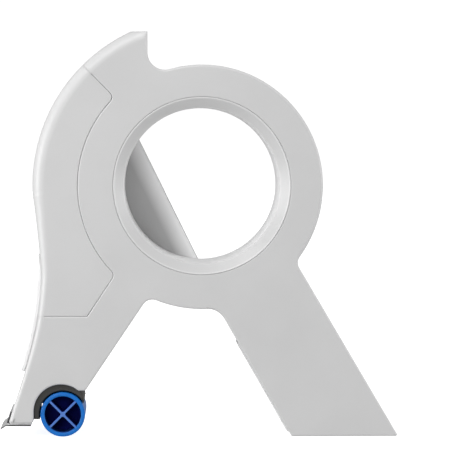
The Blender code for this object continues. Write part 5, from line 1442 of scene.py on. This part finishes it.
class Paint:
    """One material under construction."""

    def __init__(self, name):
        self.material = bpy.data.materials.new(name)
        self.material.use_nodes = True
        self.tree = self.material.node_tree
        self.shader = self.tree.nodes["Principled BSDF"]
        self.coordinates = self.node("ShaderNodeTexCoord").out("Object")

    def node(self, kind, settings=None, values=None):
        """Adds a node, its settings first, then each input's value or link, and gives its first output."""
        made = self.tree.nodes.new(kind)
        for key, value in (settings or {}).items():
            setattr(made, key, value)
        for key, value in (values or {}).items():
            self.feed(made.inputs[key], value)
        return Socket(self, made.outputs[0])

    def feed(self, target, value):
        if isinstance(value, Socket):
            self.tree.links.new(value.output, target)
        else:
            target.default_value = value

    def set(self, **values):
        for key, value in values.items():
            self.feed(self.shader.inputs[key.replace("_", " ").title()], value)

    def noise(self, scale, detail=3.0, roughness=0.55, stretch=None, turn=(0, 0, 0)):
        vector = self.coordinates
        if stretch is not None:
            values = {"Vector": vector, "Scale": stretch, "Rotation": turn}
            vector = self.node("ShaderNodeMapping", None, values)
        values = {"Vector": vector, "Scale": scale, "Detail": detail, "Roughness": roughness}
        return self.node("ShaderNodeTexNoise", {"normalize": True}, values)

    def mix(self, factor, first, second):
        """One colour blended into another by a factor."""
        first, second = (c if isinstance(c, Socket) else (*c, 1) for c in (first, second))
        return self.node("ShaderNodeMix", {"data_type": "RGBA"}, {0: factor, 6: first, 7: second}).out(2)

    def attribute(self, name):
        return self.node("ShaderNodeAttribute", {"attribute_name": name}).out("Fac")

    def bump(self, height, distance, strength):
        values = {"Height": height, "Distance": distance, "Strength": strength}
        return self.node("ShaderNodeBump", None, values)

    def axes(self):
        """The coordinates across, in depth and up."""
        split = self.node("ShaderNodeSeparateXYZ", None, {0: self.coordinates})
        return split, split.out(1), split.out(2)


# How much paler painted light and how much darker painted shade make a colour.
LIT, SHADED = 1.55, 0.74
FADE = 0.3 * MM


def shade(colour, factor):
    return tuple(min(1, c * factor) for c in colour)


def moulded(name, colour, roughness, grain=1.0, scuffs=1.0, painted_light_depths=None, painted_light_edge=None):
    """Moulded plastic: spark-eroded grain, slow flow marks, fine scuffs and polished edges that get a painted
    highlight. Between two given depths it is painted paler, as painted light. The last argument holds a place
    on a free edge, the way out across it, and between which two distances the inner face turns from painted
    shade to painted light."""
    paint = Paint(name)
    broad = paint.noise(28, 3)
    cloud = paint.noise(160, 4, 0.6)
    speck = paint.noise(2600, 2, 0.5)
    grained = paint.noise(1500, 3, 0.6)
    edge = paint.attribute("edge")
    scratch = paint.noise(70, 2, 0.5, (1, 1, 26), (0.4, 0.9, 0.3)).above(0.66, 0.72)
    crossing = paint.noise(90, 2, 0.5, (22, 1, 1), (0.2, 0.5, 1.1)).above(0.67, 0.73)
    # Scratches and scuffs: real wear, paler and rougher.
    wear_and_sheen = (scratch + crossing) * (cloud.above(0.42, 0.62) * scuffs)
    tone = paint.mix(broad.above(0.35, 0.65), shade(colour, 0.975), shade(colour, 1.015))
    tone = paint.mix(speck.above(0.55, 0.75) * 0.35, tone, shade(colour, 0.93))
    tone = paint.mix(wear_and_sheen * 0.12, tone, shade(colour, 1.12))
    # Rounded edges are painted paler, a painted highlight.
    tone = paint.mix(edge * 0.6, tone, shade(colour, 1.25))
    across, depth, up = paint.axes()
    # Between two depths the colour is painted paler, as painted light.
    if painted_light_depths is not None:
        start, end = painted_light_depths
        between = depth.above(start, start + FADE) * (1 - depth.above(end, end + FADE))
        tone = paint.mix(between, tone, shade(colour, LIT))
    # Across the free edge the inner face turns from painted shade to painted light.
    if painted_light_edge is not None:
        place, way, dark, pale = painted_light_edge
        reach = across * float(way[0]) + up * float(way[1]) - float(place @ way)
        inner = depth.above(FAR_PLATE_FACE - 0.2 * MM, FAR_PLATE_FACE - 0.1 * MM)
        inner = inner * (1 - depth.above(FAR_PLATE_FACE + 0.3 * MM, FAR_PLATE_FACE + 0.6 * MM))
        lit = paint.mix(reach.above(dark, pale), shade(colour, SHADED), shade(colour, LIT))
        tone = paint.mix(inner, tone, lit)
    rough = cloud * 0.1 + (roughness - 0.05) + wear_and_sheen * 0.08 - edge * 0.08
    height = grained * (0.7 * grain) + cloud * 0.5 - wear_and_sheen * 0.35
    paint.set(base_color=tone, roughness=rough, normal=paint.bump(height, 0.05 * MM, 0.35))
    paint.shader.inputs["IOR"].default_value = 1.49
    return paint.material


def steel(name, colour, roughness, brushed=(1, 40, 1), dark_before=None, dark_above=-1.0):
    """Steel, brushed along one way, with slight stains. Before a depth and above a height it is painted
    much darker."""
    paint = Paint(name)
    lines = paint.noise(500, 3, 0.6, brushed)
    stain = paint.noise(120, 4, 0.6)
    tone = paint.mix(stain.above(0.4, 0.7), colour, shade(colour, 0.72))
    tone = paint.mix(lines.above(0.3, 0.8) * 0.35, tone, shade(colour, 1.3))
    if dark_before is not None:
        # The sheet's near end is painted much darker.
        _, depth, up = paint.axes()
        darkened_end = 1 - depth.above(dark_before, dark_before + 0.1 * MM)
        darkened_end = darkened_end * up.above(dark_above, dark_above + 0.2 * MM)
        tone = paint.mix(darkened_end, tone, shade(colour, 0.16))
    rough = lines * 0.16 + stain * 0.14 + (roughness - 0.14)
    paint.set(base_color=tone, roughness=rough, normal=paint.bump(lines, 0.01 * MM, 0.4))
    paint.shader.inputs["Metallic"].default_value = 1.0
    return paint.material


def roller_plastic(name):
    """Glossy blue plastic; painted shade makes the hollow end dull navy, the ribs' rubbed edges get a painted
    highlight.
    """
    paint = Paint(name)
    rim = (0.003, 0.145, 0.530)
    # The painted shade inside the hollow end.
    hollow_shade = (0.0100, 0.0140, 0.190)
    rib = (0.085, 0.200, 0.570)
    across, depth, up = paint.axes()
    x, z = across - float(ROLLER[0]), up - float(ROLLER[1])
    squares = x * x + z * z
    distance = squares.math("POWER", squares, 0.5)
    bore = ROLLER_RADIUS - ROLLER_RIM
    inside = 1 - distance.above(bore - 0.1 * MM, bore + 0.1 * MM)
    deep = depth.above(ROLLER_START + 0.25 * MM, ROLLER_START + 1.2 * MM)
    cloud = paint.noise(220, 3)
    speck = paint.noise(1800, 2)
    edge = paint.attribute("edge")
    tone = paint.mix(cloud.above(0.3, 0.7), shade(rim, 0.9), shade(rim, 1.12))
    tone = paint.mix(inside, tone, rib)
    # The ribs' rubbed rounded edges are painted paler, a painted highlight.
    tone = paint.mix(edge * 0.25, tone, shade(rib, 1.4))
    rough = cloud * 0.12 + 0.25 + speck * 0.05
    relief = paint.bump(speck * 0.5 + cloud, 0.03 * MM, 0.3)
    paint.set(base_color=tone, roughness=rough, normal=relief)
    paint.shader.inputs["Specular IOR Level"].default_value = 0.3
    # Inside the hollow end the blue is painted dull, dark navy as painted shade.
    shadowed = paint.mix(cloud.above(0.3, 0.7), shade(hollow_shade, 0.7), shade(hollow_shade, 1.3))
    values = {"Base Color": shadowed, "Roughness": cloud * 0.1 + 0.7, "Normal": relief}
    painted_shade_shader = paint.node("ShaderNodeBsdfPrincipled", None, {**values, "Specular IOR Level": 0.04})
    glossy = Socket(paint, paint.shader.outputs[0])
    both = paint.node("ShaderNodeMixShader", None, {0: inside * deep, 1: glossy, 2: painted_shade_shader})
    paint.feed(paint.tree.nodes["Material Output"].inputs["Surface"], both)
    return paint.material


# Stage, light and camera


def glowing(name, rows, finish, colour, glow):
    """A piece of the stage that lights itself evenly and has no shine. Only the camera sees how it glows."""
    surface = Surface()
    surface.grid(rows, closed=True)
    thing = placed_object(name, surface.mesh(name))
    paint = Paint(finish)
    paint.set(base_color=(*colour, 1), roughness=0.9)
    paint.shader.inputs["Emission Color"].default_value = (1, 1, 1, 1)
    paint.shader.inputs["Emission Strength"].default_value = glow
    paint.shader.inputs["Specular IOR Level"].default_value = 0.0
    thing.data.materials.append(paint.material)
    thing.visible_diffuse = False
    thing.visible_glossy = False
    return thing


def stage_floor():
    """A pale round floor: rings of points about the origin."""
    rows = rings(np.array([0, 0.5, 1.5, 4.0])[:, None], -0.02 * MM, sides=64)
    glowing("floor", rows, "pale_floor", (0.82, 0.82, 0.82), FLOOR_GLOW)


def backdrop():
    """A white shell far round the object that only the camera sees."""
    rise = np.linspace(-math.pi / 2, math.pi / 2, 25)[:, None]
    rows = BACKDROP_RADIUS * rings(np.cos(rise), np.sin(rise), sides=48)
    shell = glowing("backdrop", rows, "white_backdrop", (0, 0, 0), BACKDROP_GLOW)
    shell.visible_transmission = False
    shell.visible_shadow = False


def aimed(name, data, place, target):
    thing = placed_object(name, data)
    thing.location = place
    thing.rotation_euler = (Vector(target) - Vector(place)).to_track_quat("-Z", "Y").to_euler()
    return thing


def lights():
    for name, (place, size, power) in LIGHTS.items():
        light = bpy.data.lights.new(name, "AREA")
        light.shape = "RECTANGLE"
        light.size, light.size_y = size
        light.energy = power
        aimed(name, light, place, (0, 0, BODY_HEIGHT / 2))
    world = bpy.data.worlds.new("soft_room")
    world.use_nodes = True
    world.node_tree.nodes["Background"].inputs["Color"].default_value = (1, 1, 1, 1)
    world.node_tree.nodes["Background"].inputs["Strength"].default_value = ROOM_LIGHT
    bpy.context.scene.world = world


def camera():
    """The photograph's view: nearly square to the near side, from slightly to the left and above."""
    data = bpy.data.cameras.new("camera")
    data.lens = LENS
    data.sensor_width = 36.0
    data.clip_start, data.clip_end = 0.01, 50
    bpy.context.scene.camera = aimed("camera", data, CAMERA, AIM)


CAMERA = (-0.0269, -1.523, 0.1572)
AIM = (0.0166, -0.023, 0.0942)
LENS = 247.0
FLOOR_GLOW = 0.85
BACKDROP_GLOW = 1.05
BACKDROP_RADIUS = 7.0
ROOM_LIGHT = 0.47
LIGHTS = {
    "left_box": ((-1.22, -0.45, 0.15), (0.7, 0.7), 9.5),
    "right_box": ((1.22, -0.45, 0.15), (0.7, 0.7), 7.0),
    "high_box": ((-0.5, -0.8, 1.0), (0.6, 0.6), 5.4),
    "front_box": ((-0.45, -1.8, 0.3), (0.5, 0.5), 4.0),
}

GREY = (0.590, 0.590, 0.591)
# Distances across the free edge where the far side's painted shade turns to painted light.
FREE_EDGE_SHADED_REACH, FREE_EDGE_LIT_REACH = -9 * MM, -1.5 * MM
# Depths before and after a shell's start that are painted paler, as painted light.
PAINTED_LIGHT_BEFORE, PAINTED_LIGHT_AFTER = 1.0 * MM, 0.5 * MM
BORE_PALE_AFTER = 0.4 * MM
DARK_END_DEPTH = 0.05 * MM


def painted_light_band(start):
    """The depths at the near end of a shell that are painted paler, as painted light."""
    return start - PAINTED_LIGHT_BEFORE, start + PAINTED_LIGHT_AFTER


camera()
lights()
stage_floor()
backdrop()
body_finish = moulded("grey_moulding", GREY, 0.42)
near_side(body_finish)
# The far side's inner face is painted from painted shade to painted light towards its free edge.
across_edge = -left_of(lean(FREE_EDGE_RAKE))
free_edge_painted_light = (HUB - across_edge * FREE_EDGE_OFFSET, across_edge, FREE_EDGE_SHADED_REACH, FREE_EDGE_LIT_REACH)
far_side(moulded("far_moulding", GREY, 0.42, painted_light_edge=free_edge_painted_light))
# The rear leg's near end is painted paler, as painted light.
rear_leg(moulded("rear_leg_moulding", GREY, 0.42, painted_light_depths=painted_light_band(LEG_SHELL_START)))
spine_grip(moulded("grip_moulding", shade(GREY, 1.01), 0.45, grain=1.3))
# The apron's near end is painted paler, as painted light.
apron(moulded("apron_moulding", shade(GREY, 0.98), 0.45, painted_light_depths=painted_light_band(SHELL_START)))
# Past the throat the drum's bore is painted paler, as painted light.
painted_light_bore = (NEAR + FLARE_DEPTH + BORE_PALE_AFTER, FAR)
drum(moulded("drum_moulding", shade(GREY, 1.03), 0.36, grain=0.6, painted_light_depths=painted_light_bore))
guard(moulded("guard_moulding", (0.050, 0.049, 0.044), 0.6, scuffs=0.6))
roller(roller_plastic("blue_roller"))
waxy = moulded("waxy_bush", (0.70, 0.68, 0.60), 0.5, grain=0.4)
shaft_parts(steel("ground_steel", (0.56, 0.56, 0.57), 0.28), waxy)
screws(steel("zinc_steel", (0.46, 0.46, 0.48), 0.36, (1, 1, 1)))
# The depth before which the sheets are painted much darker.
darkened_end = PLATE_BACK + BLADE_MARGIN + DARK_END_DEPTH
blade_pieces(
    steel("holder_steel", (0.88, 0.88, 0.89), 0.3, dark_before=darkened_end, dark_above=HOLDER_TOP),
    steel("blade_steel", (0.88, 0.88, 0.89), 0.26, dark_before=darkened_end),
)

bpy.context.scene.view_settings.view_transform = "Standard"
